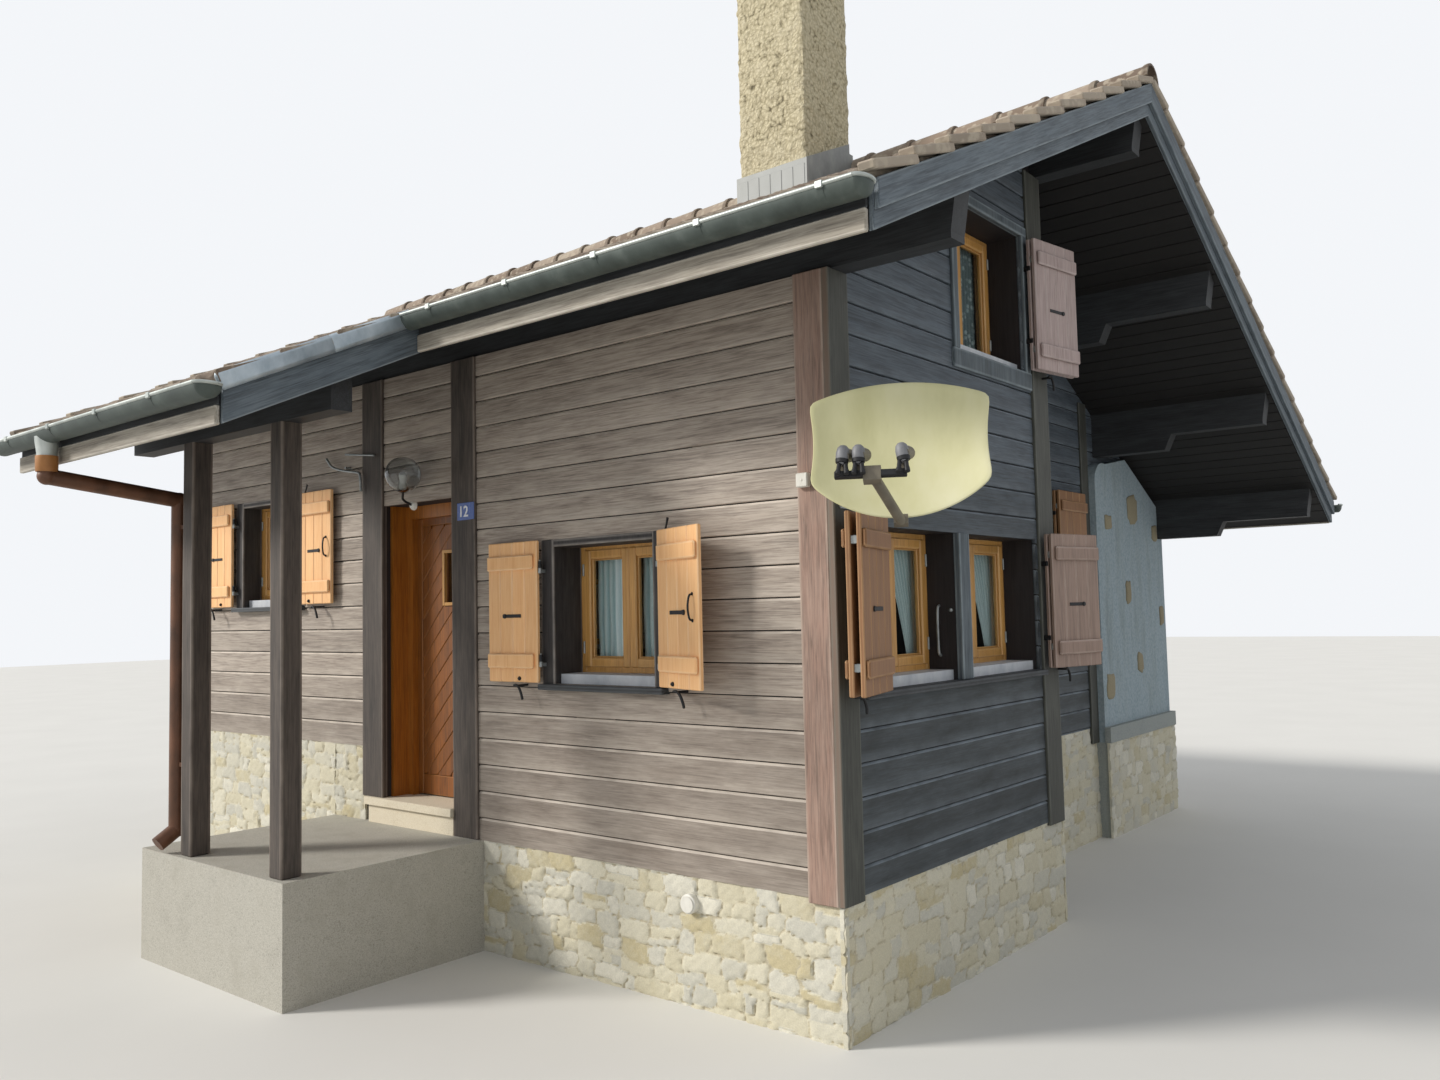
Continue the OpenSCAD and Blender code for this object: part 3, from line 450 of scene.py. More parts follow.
def finished(parts, colour, height, strength, relief_mm, **values):
    """Joins colour and relief to the shader and sets its other values; an underscore in a value's
    name stands for a space."""
    material, tree, shader, _ = parts
    relief = {"Height": height, "Strength": strength, "Distance": relief_mm / 1000.0}
    bump = add(tree, "ShaderNodeBump", None, relief)
    fill(shader, {"Base Color": colour, "Normal": bump.outputs["Normal"]})
    fill(shader, {key.replace("_", " "): value for key, value in values.items()})
    return material


# %% [markdown]
# ## Wood
#
# All the wood shares one recipe, because stain, varnish and bare grey boards are the same fibre
# in other moods. Fibres are long noise, stretched many times along the grain; each board slides
# along that noise by its own mark, so no two are alike. Weather fades broad patches, and
# arrises go pale: by wear on most timbers, and as a painted highlight on the wall boards' bevels
# and the window linings' edges, where light catches them.

# %% Wood


def down_the_roof(tree, place):
    """Object coordinates turned so that Y runs down either slope. With t the distance from the
    ridge line and d the drop below it, Y is t cos + d sin and Z is d cos - t sin."""
    apart = add(tree, "ShaderNodeSeparateXYZ", None, {0: place}).outputs
    t = calc(tree, "ABSOLUTE", calc(tree, "SUBTRACT", apart["Y"], (RIDGE_Y + CORNER[1]) / 1000))
    d = calc(tree, "SUBTRACT", RIDGE_Z / 1000, apart["Z"])
    along = times_plus(tree, t, SLANT, calc(tree, "MULTIPLY", d, SINE))
    across = times_plus(tree, d, SLANT, calc(tree, "MULTIPLY", t, -SINE))
    return add(tree, "ShaderNodeCombineXYZ", None, {"X": apart["X"], "Y": along, "Z": across}).outputs[0]


def wood(name, grain, deep, main, worn, rough=(0.55, 0.8), fibre_mm=7.0, relief_mm=0.6, fade=0.5,
         wear=0.8, spread=(0.88, 1.1), coat=0.0, tint=None, sloped=False):
    """Wood with its grain along an axis. Ramp of fibre noise from deep to main, then towards
    worn by fade where broad noise is high and by wear at the arrises, where the mark edge is
    real wear on timbers and a painted highlight on the boards' bevels and the linings' edges; each
    board has its own brightness in spread. tint is (axis, level, softness, colour, share) for wood
    of another colour below a place on the house."""
    _, tree, _, place = parts = new_finish(name)
    if sloped:
        place = down_the_roof(tree, place)
    board = mark(tree, "board")
    own = slid(tree, place, (31.0, 17.0, 23.0), board)

    def drawn(across, along):
        by = [across] * 3
        by["xyz".index(grain)] = along
        return stretched(tree, own, tuple(by))

    fine = 1000.0 / fibre_mm
    fibre = noise(tree, drawn(fine, 5.0), 1.0, 5.0, Roughness=0.62, Distortion=0.6)
    rings = noise(tree, drawn(fine * 0.16, 1.6), 1.0, 3.0, Roughness=0.5, Distortion=1.4)
    figure = times_plus(tree, fibre, 0.66, calc(tree, "MULTIPLY", rings, 0.34))
    colour = ramp(tree, figure, [(0.38, deep), (0.58, main)])
    if tint:
        axis, level, soft, other, share = tint
        height = add(tree, "ShaderNodeSeparateXYZ", None, {0: place}).outputs[axis]
        below = remap(tree, height, level - soft, level + soft, share, 0.0, soft=True)
        colour = blend(tree, below, colour, other)
    patch = noise(tree, drawn(9.0, 2.2), 1.0, 5.0, Roughness=0.7)
    faded = calc(tree, "MULTIPLY", remap(tree, patch, 0.3, 0.8, 0.0, fade), fibre)
    # On the boards' bevels and the linings' edges this pale at the mark edge is a painted highlight; on other
    # timbers it is wear
    chips = remap(tree, noise(tree, own, 6.0, 4.0), 0.3, 0.62, 0.35 * wear, wear)
    bare = calc(tree, "ADD", faded, calc(tree, "MULTIPLY", chips, mark(tree, "edge")), clamp=True)
    final = lit(tree, remap(tree, board, 0.0, 1.0, *spread), blend(tree, bare, colour, worn))
    return finished(parts, final, figure, 0.7, relief_mm, Roughness=remap(tree, figure, 0.0, 1.0, *rough),
                    IOR=1.5, Coat_Weight=coat, Coat_Roughness=0.35)


# Dark stain on spruce boards, gone milky brown where sun and rain reach it
front_boards = wood("dark_stained_spruce", "x", "#6f635a", "#a5998d", "#cfc5b9", fade=0.8, wear=0.95,
                    tint=("Z", 1.5, 0.35, "#71665c", 0.6))
# The same stain on the gable, painted darker and bluer for the shade and blue sky light it stood
# in, and darker still below 2.5 m; the return wall takes the same painted shade
gable_boards = wood("cold_weathered_spruce", "y", "#2b3036", "#4c5660", "#87919a", fade=0.45, wear=0.8,
                    tint=("Z", 2.5, 0.7, "#232624", 0.8))
return_boards = wood("cold_weathered_return", "x", "#262828", "#41474a", "#7d8589", fade=0.6)
far_boards = wood("stained_far_gable", "y", "#2f2520", "#4b3f38", "#7d7066", fade=0.7)
# Inner faces and reveals are painted near black, the shade inside them; the linings are painted
# dark for their shade too, and their arrises pale as a painted highlight where light catches them
hidden_boards = wood("dark_stained_reveal", "z", "#171415", "#2b2628", "#4b4646", fade=0.3, wear=0.3)
lining_wood = wood("dark_lining_boards", "z", "#1a191b", "#302d2e", "#99938d", fade=0.3, wear=0.95)
# Posts and trims: upright grain, painted nearly black brown, darker than their grey brown wood,
# the shade they stood in
upright_dark = wood("dark_stained_upright", "z", "#26211e", "#453d38", "#857a70", fade=0.6, wear=0.7)
# The corner post is painted red brown towards the entrance, its colour in sun, and dark olive
# grey towards the gable, its colour in shade: lit and shaded copies of one wood
corner_post = wood("grey_olive_corner_post", "z", "#2b2b28", "#474842", "#74766e", fade=0.5, wear=0.5,
                   tint=("Y", -0.187, 0.001, "#7f6a5c", 0.9))
red_post = wood("red_brown_post", "z", "#6b554a", "#947668", "#b8a89b", fade=0.7, wear=0.6, fibre_mm=9)
# The attic casing takes the gable's painted shade and sky light: dark blue grey
casing_wood = wood("blue_grey_casing", "z", "#2b3236", "#4b565e", "#8a959b", fade=0.8)
# Timbers and soffit boards under the roof are painted near black, the shade of the eaves; the
# window ledges and the dark board over each fascia take the same finish
roof_timber = wood("dark_roof_timber", "x", "#17181a", "#2e3033", "#7d8388", fade=0.25, wear=0.3)
soffit_wood = wood("dark_soffit_boards", "x", "#0e0d0d", "#1b1918", "#2c2928", fade=0.3, wear=0.3)
# Barge boards: painted blue grey, their colour in shade under blue sky light
barge_wood = wood("blue_grey_barge_board", "y", "#303840", "#56616a", "#8b959b", fade=0.7, wear=0.7,
                  sloped=True)
# Fascia: bare larch, pale and streaked
pale_wood = wood("bare_pale_larch", "x", "#6f675c", "#a0988a", "#c9c3b8", fade=0.8, spread=(0.92, 1.05))
# Window wood: orange translucent stain with a soft shine; the door's boards and frame are painted
# darker, their colour in the shade of the doorway
window_wood = wood("orange_window_stain", "z", "#b5803c", "#d29e56", "#e4bc84", rough=(0.35, 0.5),
                   fibre_mm=5, relief_mm=0.2, fade=0.3, wear=0.4, coat=0.2)
door_wood = wood("varnished_door_boards", "z", "#5f3409", "#8a4f13", "#ae7430", rough=(0.35, 0.55),
                 fibre_mm=6, relief_mm=0.3, fade=0.3, wear=0.4, coat=0.25)
frame_wood = wood("varnished_door_frame", "z", "#8a4e10", "#b46c1f", "#cf9548", rough=(0.35, 0.5),
                  fibre_mm=6, relief_mm=0.25, fade=0.3, wear=0.3, coat=0.2)
# Shutters: one opaque stain in lit and shaded copies: bright orange as in full sun, pink as in
# blue sky light on the gable, and brown orange and grey brown as in shade
STAIN = {"rough": (0.5, 0.65), "relief_mm": 0.3, "fade": 0.4, "spread": (0.94, 1.05)}
sunny_shutter = wood("orange_shutter_stain", "z", "#eeb276", "#f9c489", "#fddcb2", wear=0.5,
                     **{**STAIN, "spread": (0.93, 1.05)})
pink_shutter = wood("faded_shutter_stain", "z", "#93807c", "#b09d99", "#cdc0bd", wear=0.5,
                    **{**STAIN, "rough": (0.55, 0.7)})
brown_shutter = wood("brown_orange_shutter", "z", "#7a5536", "#916845", "#b08a64", **STAIN)
bay_shutter = wood("grey_brown_shutter", "z", "#7f6a5e", "#9a8275", "#b8a398", **STAIN)
# Indoors the floors are plain planed boards
floor_wood = wood("plain_floor_boards", "x", "#7a5a3a", "#a98358", "#b99870", rough=(0.4, 0.55), fade=0.3)
print("wood finishes:", sum(1 for m in bpy.data.materials if m.users == 0))

# %% [markdown]
# ## Stone, render and tile
#
# Stones are told apart by the mark "stone", mortar by the mark "joint". Roughcast is thrown on
# wet: round grit a centimetre or two across, with painted shade between the grains. Fired tiles
# bleach, and lichen grows in round patches on their upper faces.

# %% Stone and render


def rubble(name, stones, mortar):
    """Split limestone: each stone takes a colour from the ramp by its mark, with cloudy noise and
    small pits; where the mark joint is high the mortar shows."""
    _, tree, _, place = parts = new_finish(name)
    cloud = noise(tree, place, 14.0, 6.0, Roughness=0.7)
    grit = noise(tree, place, 130.0, 4.0, Roughness=0.7)
    pick = times_plus(tree, cloud, 0.35, mark(tree, "stone"))
    face = ramp(tree, calc(tree, "SUBTRACT", pick, 0.17), stones)
    line = remap(tree, mark(tree, "joint"), 0.35, 0.62, soft=True)
    both = blend(tree, line, face, blend(tree, grit, *mortar))
    final = lit(tree, remap(tree, grit, 0.3, 0.7, 0.86, 1.08), both)
    return finished(parts, final, times_plus(tree, cloud, 2.2, grit), 0.8, 3.0, Roughness=0.88)


def render_coat(name, shades, grain_mm, relief_mm, stain, stain_share, hollow_shade=0.55, drawn=1.0):
    """Mineral render: rounded grains of one size from cell noise, with painted shade in the hollows
    by hollow_shade, over cloudy shades; stain is washed over it in broad patches, and where drawn
    is under 1 both run down the wall."""
    _, tree, _, place = parts = new_finish(name)
    warp = {"Vector": place, "Scale": 300.0 / grain_mm, "Detail": 3.0}
    warp = add(tree, "ShaderNodeTexNoise", None, warp).outputs["Color"]
    grains = cells(tree, slid(tree, place, warp, grain_mm / 420), 1000.0 / grain_mm, Smoothness=0.35)
    cloud = noise(tree, stretched(tree, place, (1.0, 1.0, drawn)), 5.0, 5.0, Roughness=0.65)
    # Painted shade: darker in the hollows between the grains by hollow_shade
    tone = times_plus(tree, grains, -hollow_shade, 0.35 + 0.5 * hollow_shade)
    colour = ramp(tree, times_plus(tree, cloud, 0.5, tone), shades)
    colour = blend(tree, remap(tree, cloud, 0.48, 0.7, 0.0, stain_share), colour, stain)
    height = times_plus(tree, grains, -1.0, noise(tree, place, 2600.0 / grain_mm, 3.0))
    return finished(parts, colour, height, 0.9, relief_mm, Roughness=0.92)


# Split limestone in cream and grey, in sandy joints
limestone = rubble("split_limestone", [(0.0, "#c2b795"), (0.12, "#cbc4ab"), (0.5, "#d4cfbb"),
                                       (0.8, "#c2c0b4"), (1.0, "#dedaca")], ("#b0a78d", "#cdc5ae"))
# Dull ochre stones in the grey breast
ochre_stone = rubble("ochre_sandstone", [(0.0, "#857d66"), (0.5, "#9c937a"), (1.0, "#948a70")],
                     ("#8d8d86", "#a5a59c"))
# Thrown render, beige, on the chimney
beige_roughcast = render_coat("beige_roughcast", [(0.25, "#6f6751"), (0.45, "#b5ab8d"), (0.75, "#d3c9ab"),
                                                  (1.0, "#e0d7bb")], 24, 8, "#aca48c", 0.35, 0.72)
# The same thrown render in cold grey on the masonry breast
grey_roughcast = render_coat("grey_roughcast", [(0.25, "#7a8990"), (0.55, "#99a9b1"), (0.9, "#c0ccd1")],
                             22, 3, "#7a8788", 0.7, 0.25, 0.2)
# Smooth concrete: slab and coping, fine grit and damp stains
slab_concrete = render_coat("worn_concrete", [(0.2, "#8f8c82"), (0.6, "#b2afa5"), (0.95, "#c9c6bc")], 6, 0.8,
                            "#999589", 0.6)
coping_concrete = render_coat("grey_coping", [(0.2, "#7f8583"), (0.6, "#9ba19f"), (0.95, "#b4b8b5")], 6, 0.8,
                              "#8d9390", 0.5)
# Cream stone with a fine even grain at the door
step_stone = render_coat("cream_step_stone", [(0.2, "#c3b69b"), (0.6, "#ddd3bd"), (0.95, "#efe8d8")], 5, 0.5,
                         "#cfc2a8", 0.5)
# Sandy mortar behind the stones
mortar_bed = render_coat("sand_mortar", [(0.2, "#8b8470"), (0.6, "#a79f88"), (0.95, "#bdb49a")], 8, 1.5,
                         "#948c7a", 0.5)
print("stone finishes made")

# %% [markdown]
# ## Metal, glass and cloth
#
# Zinc goes cloudy, painted sheet holds rain streaks, iron is painted black and slightly soft in
# its shine. Glass is clear and smooth. Curtain cloth is matt with a sheen where threads catch
# the light.

# %% Metal, glass and cloth


def sheet_finish(name, shades, metallic, rough, cloud_mm=120.0, relief_mm=0.3, streak=0.5, coat=0.0):
    """Sheet or cast metal: a ramp over cloudy noise, stretched a little downwards so that it reads
    as rain marks; roughness follows the same clouds."""
    _, tree, _, place = parts = new_finish(name)
    drawn = stretched(tree, place, (1.0, 1.0, 1.0 - 0.8 * streak))
    cloud = noise(tree, drawn, 1000.0 / cloud_mm, 6.0, Roughness=0.6)
    dull = remap(tree, cloud, 0.3, 0.7, *rough)
    return finished(parts, ramp(tree, cloud, shades), noise(tree, place, 220.0, 2.0), 0.4, relief_mm,
                    Roughness=dull, Metallic=metallic, Coat_Weight=coat)


# Painted shade: the trough's grey is darkened to how it looks in shade
zinc = sheet_finish("weathered_zinc", [(0.3, "#3b4340"), (0.55, "#4e5753"), (0.8, "#6a726e")], 0.3,
                    (0.5, 0.7))
# The rolled lip is painted bright, a painted highlight of the sun on its top, and the sheet along
# the porch verge is newer and bluer
bright_zinc = sheet_finish("rubbed_zinc", [(0.3, "#98a09c"), (0.55, "#b4bab6"), (0.8, "#d0d4d0")], 0.5,
                           (0.35, 0.55))
verge_sheet = sheet_finish("pale_blue_sheet", [(0.3, "#8f9ca6"), (0.55, "#adb9c2"), (0.8, "#c8d1d7")], 0.5,
                           (0.35, 0.55))
collar_orange = sheet_finish("orange_brown_collar", [(0.3, "#8a5a2e"), (0.6, "#a8733f"), (0.85, "#bd8a56")],
                             0.1, (0.4, 0.6))
flashing = sheet_finish("dull_lead_grey_sheet", [(0.3, "#7b7d7c"), (0.6, "#989a98"), (0.85, "#b4b5b2")], 0.4,
                        (0.5, 0.7))
brown_pipe = sheet_finish("brown_coated_pipe", [(0.3, "#49301f"), (0.6, "#6b4732"), (0.85, "#7f5a43")], 0.2,
                          (0.4, 0.6))
# Painted and galvanised ironwork
black_iron = sheet_finish("black_painted_iron", [(0.3, "#141416"), (0.7, "#26272a"), (0.9, "#3a3836")], 0.3,
                          (0.45, 0.65), 30, 0.4)
galvanised = sheet_finish("galvanised_steel", [(0.3, "#7f8485"), (0.55, "#a0a5a5"), (0.8, "#bcc0bf")], 0.7,
                          (0.4, 0.6), 40)
arm_metal = sheet_finish("grey_brown_arm", [(0.3, "#5d574c"), (0.6, "#787163"), (0.85, "#908a7c")], 0.3,
                         (0.45, 0.65))
# The dish's enamel has gone cream; its receivers are grey plastic
dish_paint = sheet_finish("cream_dish_enamel", [(0.3, "#c6c393"), (0.5, "#d4d1a5"), (0.7, "#dcd9b5")], 0.0,
                          (0.4, 0.6), 260, 0.1, 0.8)
receiver_grey = sheet_finish("grey_moulded_plastic", [(0.3, "#66676b"), (0.7, "#87888c")], 0.0, (0.45, 0.6),
                             60, 0.1)
white_plastic = sheet_finish("white_moulded_plastic", [(0.3, "#d3d1c8"), (0.7, "#e6e4dc")], 0.0, (0.4, 0.55),
                             60, 0.1)
pale_sill = sheet_finish("pale_sill_paint", [(0.3, "#b4bac2"), (0.6, "#cfd3d8"), (0.85, "#dfe2e4")], 0.0,
                         (0.5, 0.65), 90)
# The number plate's glossy enamel
plate_blue = sheet_finish("blue_enamel", [(0.3, "#25468c"), (0.7, "#2f56a3")], 0.0, (0.15, 0.3), 60, 0.05,
                          0.3, 0.3)
digit_white = sheet_finish("white_enamel", [(0.3, "#dfe3ea"), (0.7, "#f0f2f5")], 0.0, (0.2, 0.3), 60, 0.05)


def clear(name, colour, rough):
    """Glass: fully transmitting, faintly tinted, with slow waves in its face."""
    _, tree, _, place = parts = new_finish(name)
    return finished(parts, paint(colour), noise(tree, place, 6.0, 2.0), 0.1, 1.0, Roughness=rough, IOR=1.45,
                    Transmission_Weight=1.0)


window_glass = clear("clear_window_glass", "#eef5f4", 0.01)
lamp_glass = clear("smoked_lamp_glass", "#dde1e3", 0.04)


def cloth(name, light_colour, shade_colour, lace=False):
    """Sheer cloth: warp as fine bands and weft as fine noise in the relief, drawn coarser than real
    so that they show; the mark "fold" paints shade in the hollows of the folds; lace adds a pattern
    of round motifs painted dark, the painted shade of the room behind."""
    _, tree, _, place = parts = new_finish(name)
    bands = {"Vector": place, "Scale": 150.0, "Distortion": 0.2}
    settings = {"wave_type": "BANDS", "bands_direction": "Z"}
    warp = add(tree, "ShaderNodeTexWave", settings, bands).outputs["Fac"]
    colour = blend(tree, mark(tree, "fold"), light_colour, shade_colour)
    if lace:
        motif = cells(tree, place, 26.0, "F1", Randomness=0.6)
        colour = blend(tree, remap(tree, motif, 0.25, 0.5, 0.0, 0.75), colour, "#55666b")
    threads = calc(tree, "ADD", warp, noise(tree, place, 450.0, 2.0))
    return finished(parts, colour, threads, 0.3, 0.6, Roughness=0.9, Sheen_Weight=0.3)


sheer_cloth = cloth("sheer_curtain_cloth", "#f1fafb", "#b3cdd1")
lace_cloth = cloth("lace_curtain_cloth", "#e9f3f6", "#a9bfc6", lace=True)
print("metal, glass and cloth made")

# %% [markdown]
# ## Tile
#
# The roof's colour is a brown clay bleached to beige pink. Each tile is fired apart, so a number
# is drawn for each cell of the tile grid from its place on the slope; lichen lies over several
# tiles at once, and painted shade darkens each course towards its nose.

# %% Tile
TILE_W, TILE_SHOW = 176.0, 340.0


def fired_tile(name, shades):
    """Clay tile: the mark tile picks the fired shade, lichen is round cell noise cut by broad noise,
    and painted shade darkens each course towards its nose by the mark nose."""
    _, tree, _, place = parts = new_finish(name)
    broad = noise(tree, place, 1.7, 5.0, Roughness=0.7)
    fine = noise(tree, place, 60.0, 5.0, Roughness=0.7)
    lichen = times_plus(tree, cells(tree, place, 22.0), -0.9, broad)
    grown = remap(tree, times_plus(tree, fine, 0.5, lichen), 0.38, 0.55, 0.0, 0.7)
    pale = blend(tree, grown, ramp(tree, mark(tree, "tile"), shades), "#b5aa98")
    # Painted shade towards each nose
    dark = blend(tree, calc(tree, "MULTIPLY", mark(tree, "nose"), fine), pale, "#4a4038")
    return finished(parts, dark, fine, 0.7, 2.5, Roughness=0.85)


clay = fired_tile("bleached_clay_tile", [(0.0, "#66574b"), (0.35, "#807061"), (0.7, "#958576"),
                                         (1.0, "#a69a8b")])
# At the verge, sun and rain reach the lips from two sides, and they have bleached to cream
verge_clay = fired_tile("bleached_verge_clay", [(0.0, "#8b7f71"), (0.5, "#a09485"), (1.0, "#b2a798")])

# %% [markdown]
# ## The frame's own parts take their finishes
#
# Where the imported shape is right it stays, and only its finish changes.

# %% Finishes on the frame
DRESS = [
    (mortar_bed, "plinth_bay plinth_porch plinth_rear"),
    (floor_wood, "ground_floor attic_floor"),
    (hidden_boards, "front_wall_right front_wall_left front_wall_over_door bay_gable_wall"),
    (hidden_boards, "bay_return_wall recessed_gable_wall back_wall far_gable_wall"),
    (grey_roughcast, "masonry_breast"),
    (coping_concrete, "masonry_base chimney_coping"),
    (corner_post, "corner_boards"),
    (upright_dark, "door_posts porch_posts window_casings"),
    (roof_timber, "wall_plates purlins purlin_corbels porch_beam window_ledges"),
    (soffit_wood, "roof_deck_front roof_deck_back"),
    (clay, "roof_tiles_front roof_tiles_back ridge_tiles"),
    (barge_wood, "barge_boards"),
    (pale_wood, "fascia_boards"),
    (zinc, "gutters"),
    (brown_pipe, "downpipe"),
    (beige_roughcast, "chimney_stack"),
    (flashing, "chimney_flashing"),
    (slab_concrete, "porch_slab"),
    (step_stone, "door_step"),
    (frame_wood, "door_frame"),
    (door_wood, "door_leaf"),
    (window_glass, "door_glass window_panes"),
    (window_wood, "window_frames window_casements"),
    (pale_sill, "window_sills"),
    (sunny_shutter, "shutter_front_left shutter_front_right shutter_porch_left shutter_porch_right"),
    (pink_shutter, "folded_shutters"),
    (galvanised, "shutter_pins dish_mount"),
    (dish_paint, "dish"),
    (arm_metal, "dish_feed"),
    (lamp_glass, "porch_lamp"),
    (plate_blue, "number_plate"),
]
for finish, nodes in DRESS:
    for node in nodes.split():
        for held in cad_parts[node].material_slots:
            held.material = finish
print("frame dressed:", len(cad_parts), "parts")

# %% [markdown]
# ## Lapped boards
#
# The walls are clad with boards that show about 158 mm. Each board leans out towards its foot,
# so its lower arris throws a line of shadow on the next one; that arris is a little weathered pale,
# and the bevel at each board's head is painted pale, a painted highlight where light catches it.
# A board is a short outline carried along the wall; at a window it is cut, and on a gable its
# ends follow the roof.

# %% Board courses
BOARD_SHOW = 158.5


def courses(wall, foot, head, ends, first=780.0, seed=1, windows=True):
    """Boards of one wall. ends(z) gives the left and right end at a height. From its foot the
    outline is a gap of 6 mm, a face 20 mm out of the wall, and a bevel 10 mm high that runs back
    to the next gap. Unless windows is False, a window cuts a board into bands beside it."""
    lap = np.array([0.0, 0.038, 0.044, 0.062, 0.4, 0.925, 0.935, 0.985, 1.0])
    depth = np.array([-1.0, -1.0, 17.0, 20.0, 20.5, 19.0, 18.5, 10.0, 8.0])
    # How pale each point goes: a little wear at the foot arris, and over the bevel a painted highlight where
    # light catches it
    worn = np.array([0.0, 0.0, 0.5, 0.3, 0.0, 0.0, 1.0, 1.0, 0.8])
    holes = [(x, x + w, z, z + h) for on, x, z, w, h, _ in WINDOWS.values() if windows and on == wall]
    start = first - BOARD_SHOW * math.ceil((first - foot) / BOARD_SHOW)
    rng = np.random.default_rng(seed)
    found = []
    for low in np.arange(start, head, BOARD_SHOW):
        number, phase = rng.uniform(0.05, 1.0), rng.uniform(0, 6.28, 2)
        bottom, top = max(low, foot), min(low + BOARD_SHOW, head)
        if top - bottom < 8:
            continue
        cuts = sorted({bottom, top, *[z for h in holes for z in h[2:] if bottom < z < top]})
        for z0, z1 in zip(cuts, cuts[1:]):
            if z1 - z0 < 2:
                continue
            blocked = sorted(h[:2] for h in holes if h[2] < z1 - 0.1 and h[3] > z0 + 0.1)
            z = np.unique(np.clip(low + lap * BOARD_SHOW, z0, z1))
            share = (z - low) / BOARD_SHOW
            left, right = ends(z)
            inside = [b for b in blocked if b[0] < right.max() and b[1] > left.min()]
            stops = [left] + [np.full_like(z, b[k]) for b in inside for k in (0, 1)] + [right]
            for a, b in zip(stops[::2], stops[1::2]):
                b = np.maximum(b, a + 0.5)
                if (b - a).max() < 20:
                    continue
                found.append(one_board(wall, z, a, b, np.interp(share, lap, depth),
                                       np.interp(share, lap, worn), number, phase))
    return found


def one_board(wall, z, a, b, depth, worn, number, phase):
    """The outline's points at heights z run from a to b in even steps, bowing out by a slow sine;
    two points inside the wall close it."""
    steps = max(2, int((b - a).max() / 420) + 1)
    share = np.linspace(0, 1, steps)[:, None]
    along = a + share * (b - a)
    out = depth + 0.9 * np.sin(along / 610 + phase[0]) + 0.5 * np.sin(along / 190 + phase[1])
    front = on_wall(wall, along, out, z)
    back = on_wall(wall, along[:, [-1, 0]], -3.0, z[[-1, 0]])
    edge = np.concatenate([worn, [0.0, 0.0]])
    return loft(np.concatenate([front, back], 1), edge=edge[None], board=number)


def between(left, right):
    """Ends of boards that stop square at both sides."""
    return lambda z: (np.full_like(z, left), np.full_like(z, right))


def bay_ends(z):
    """The bay's boards start at the corner trim or where the roof cuts them."""
    return np.maximum(134.0, RIDGE_Y - (RIDGE_Z - z) / SLOPE), np.full_like(z, 2282.0)


def recess_ends(z):
    """Behind the bay the boards end at the masonry, and over it where the roof cuts them."""
    roof = RIDGE_Y + (RIDGE_Z - z) / SLOPE
    return np.full_like(z, 2502.0), np.where(z < 3235, 4982.0, np.minimum(roof, 6700.0))


def far_ends(z):
    """The far gable's boards run from slope to slope."""
    reach = (RIDGE_Z - z) / SLOPE
    return np.maximum(-HOUSE_D, -RIDGE_Y - reach), np.minimum(-200.0, -RIDGE_Y + reach)


PORCH_FIRST = 1287.0
front_set = courses("front", PLINTH, WALL_TOP, between(-2586, -167), seed=11)
front_set += courses("front", HIGH_PLINTH, WALL_TOP, between(-6183, -3789), PORCH_FIRST, 12)
front_set += courses("front", 2745, WALL_TOP, between(-3561, -2814), seed=13, windows=False)
back_set = courses("back", HIGH_PLINTH, 2729, between(1052, HOUSE_L), PORCH_FIRST, 14)
bay_set = courses("bay", PLINTH, 4870, bay_ends, seed=15)
recess_set = courses("recess", 930, 4975, recess_ends, seed=16)
return_set = courses("return", PLINTH, 4900, between(-730, -2), seed=17)
far_set = courses("far", HIGH_PLINTH, 4975, far_ends, PORCH_FIRST, 18)
for name, boards, finish in [("front", front_set, front_boards), ("back", back_set, front_boards),
                             ("bay", bay_set, gable_boards), ("recess", recess_set, gable_boards),
                             ("return", return_set, return_boards), ("far", far_set, far_boards)]:
    piece("boards_" + name, boards, finish)

# %% [markdown]
# ## Rubble in its mortar
#
# The plinth is split limestone laid as it came, its stones from a fist to a forearm long. Seeds
# are dropped in uneven rows; each point of a grid belongs to the nearest seed, and the
# difference to the second nearest says how close a joint is. Stones bulge away from joints.

# %% Stones
STONE_H, STONE_L, BULGE = 92.0, 150.0, 13.0


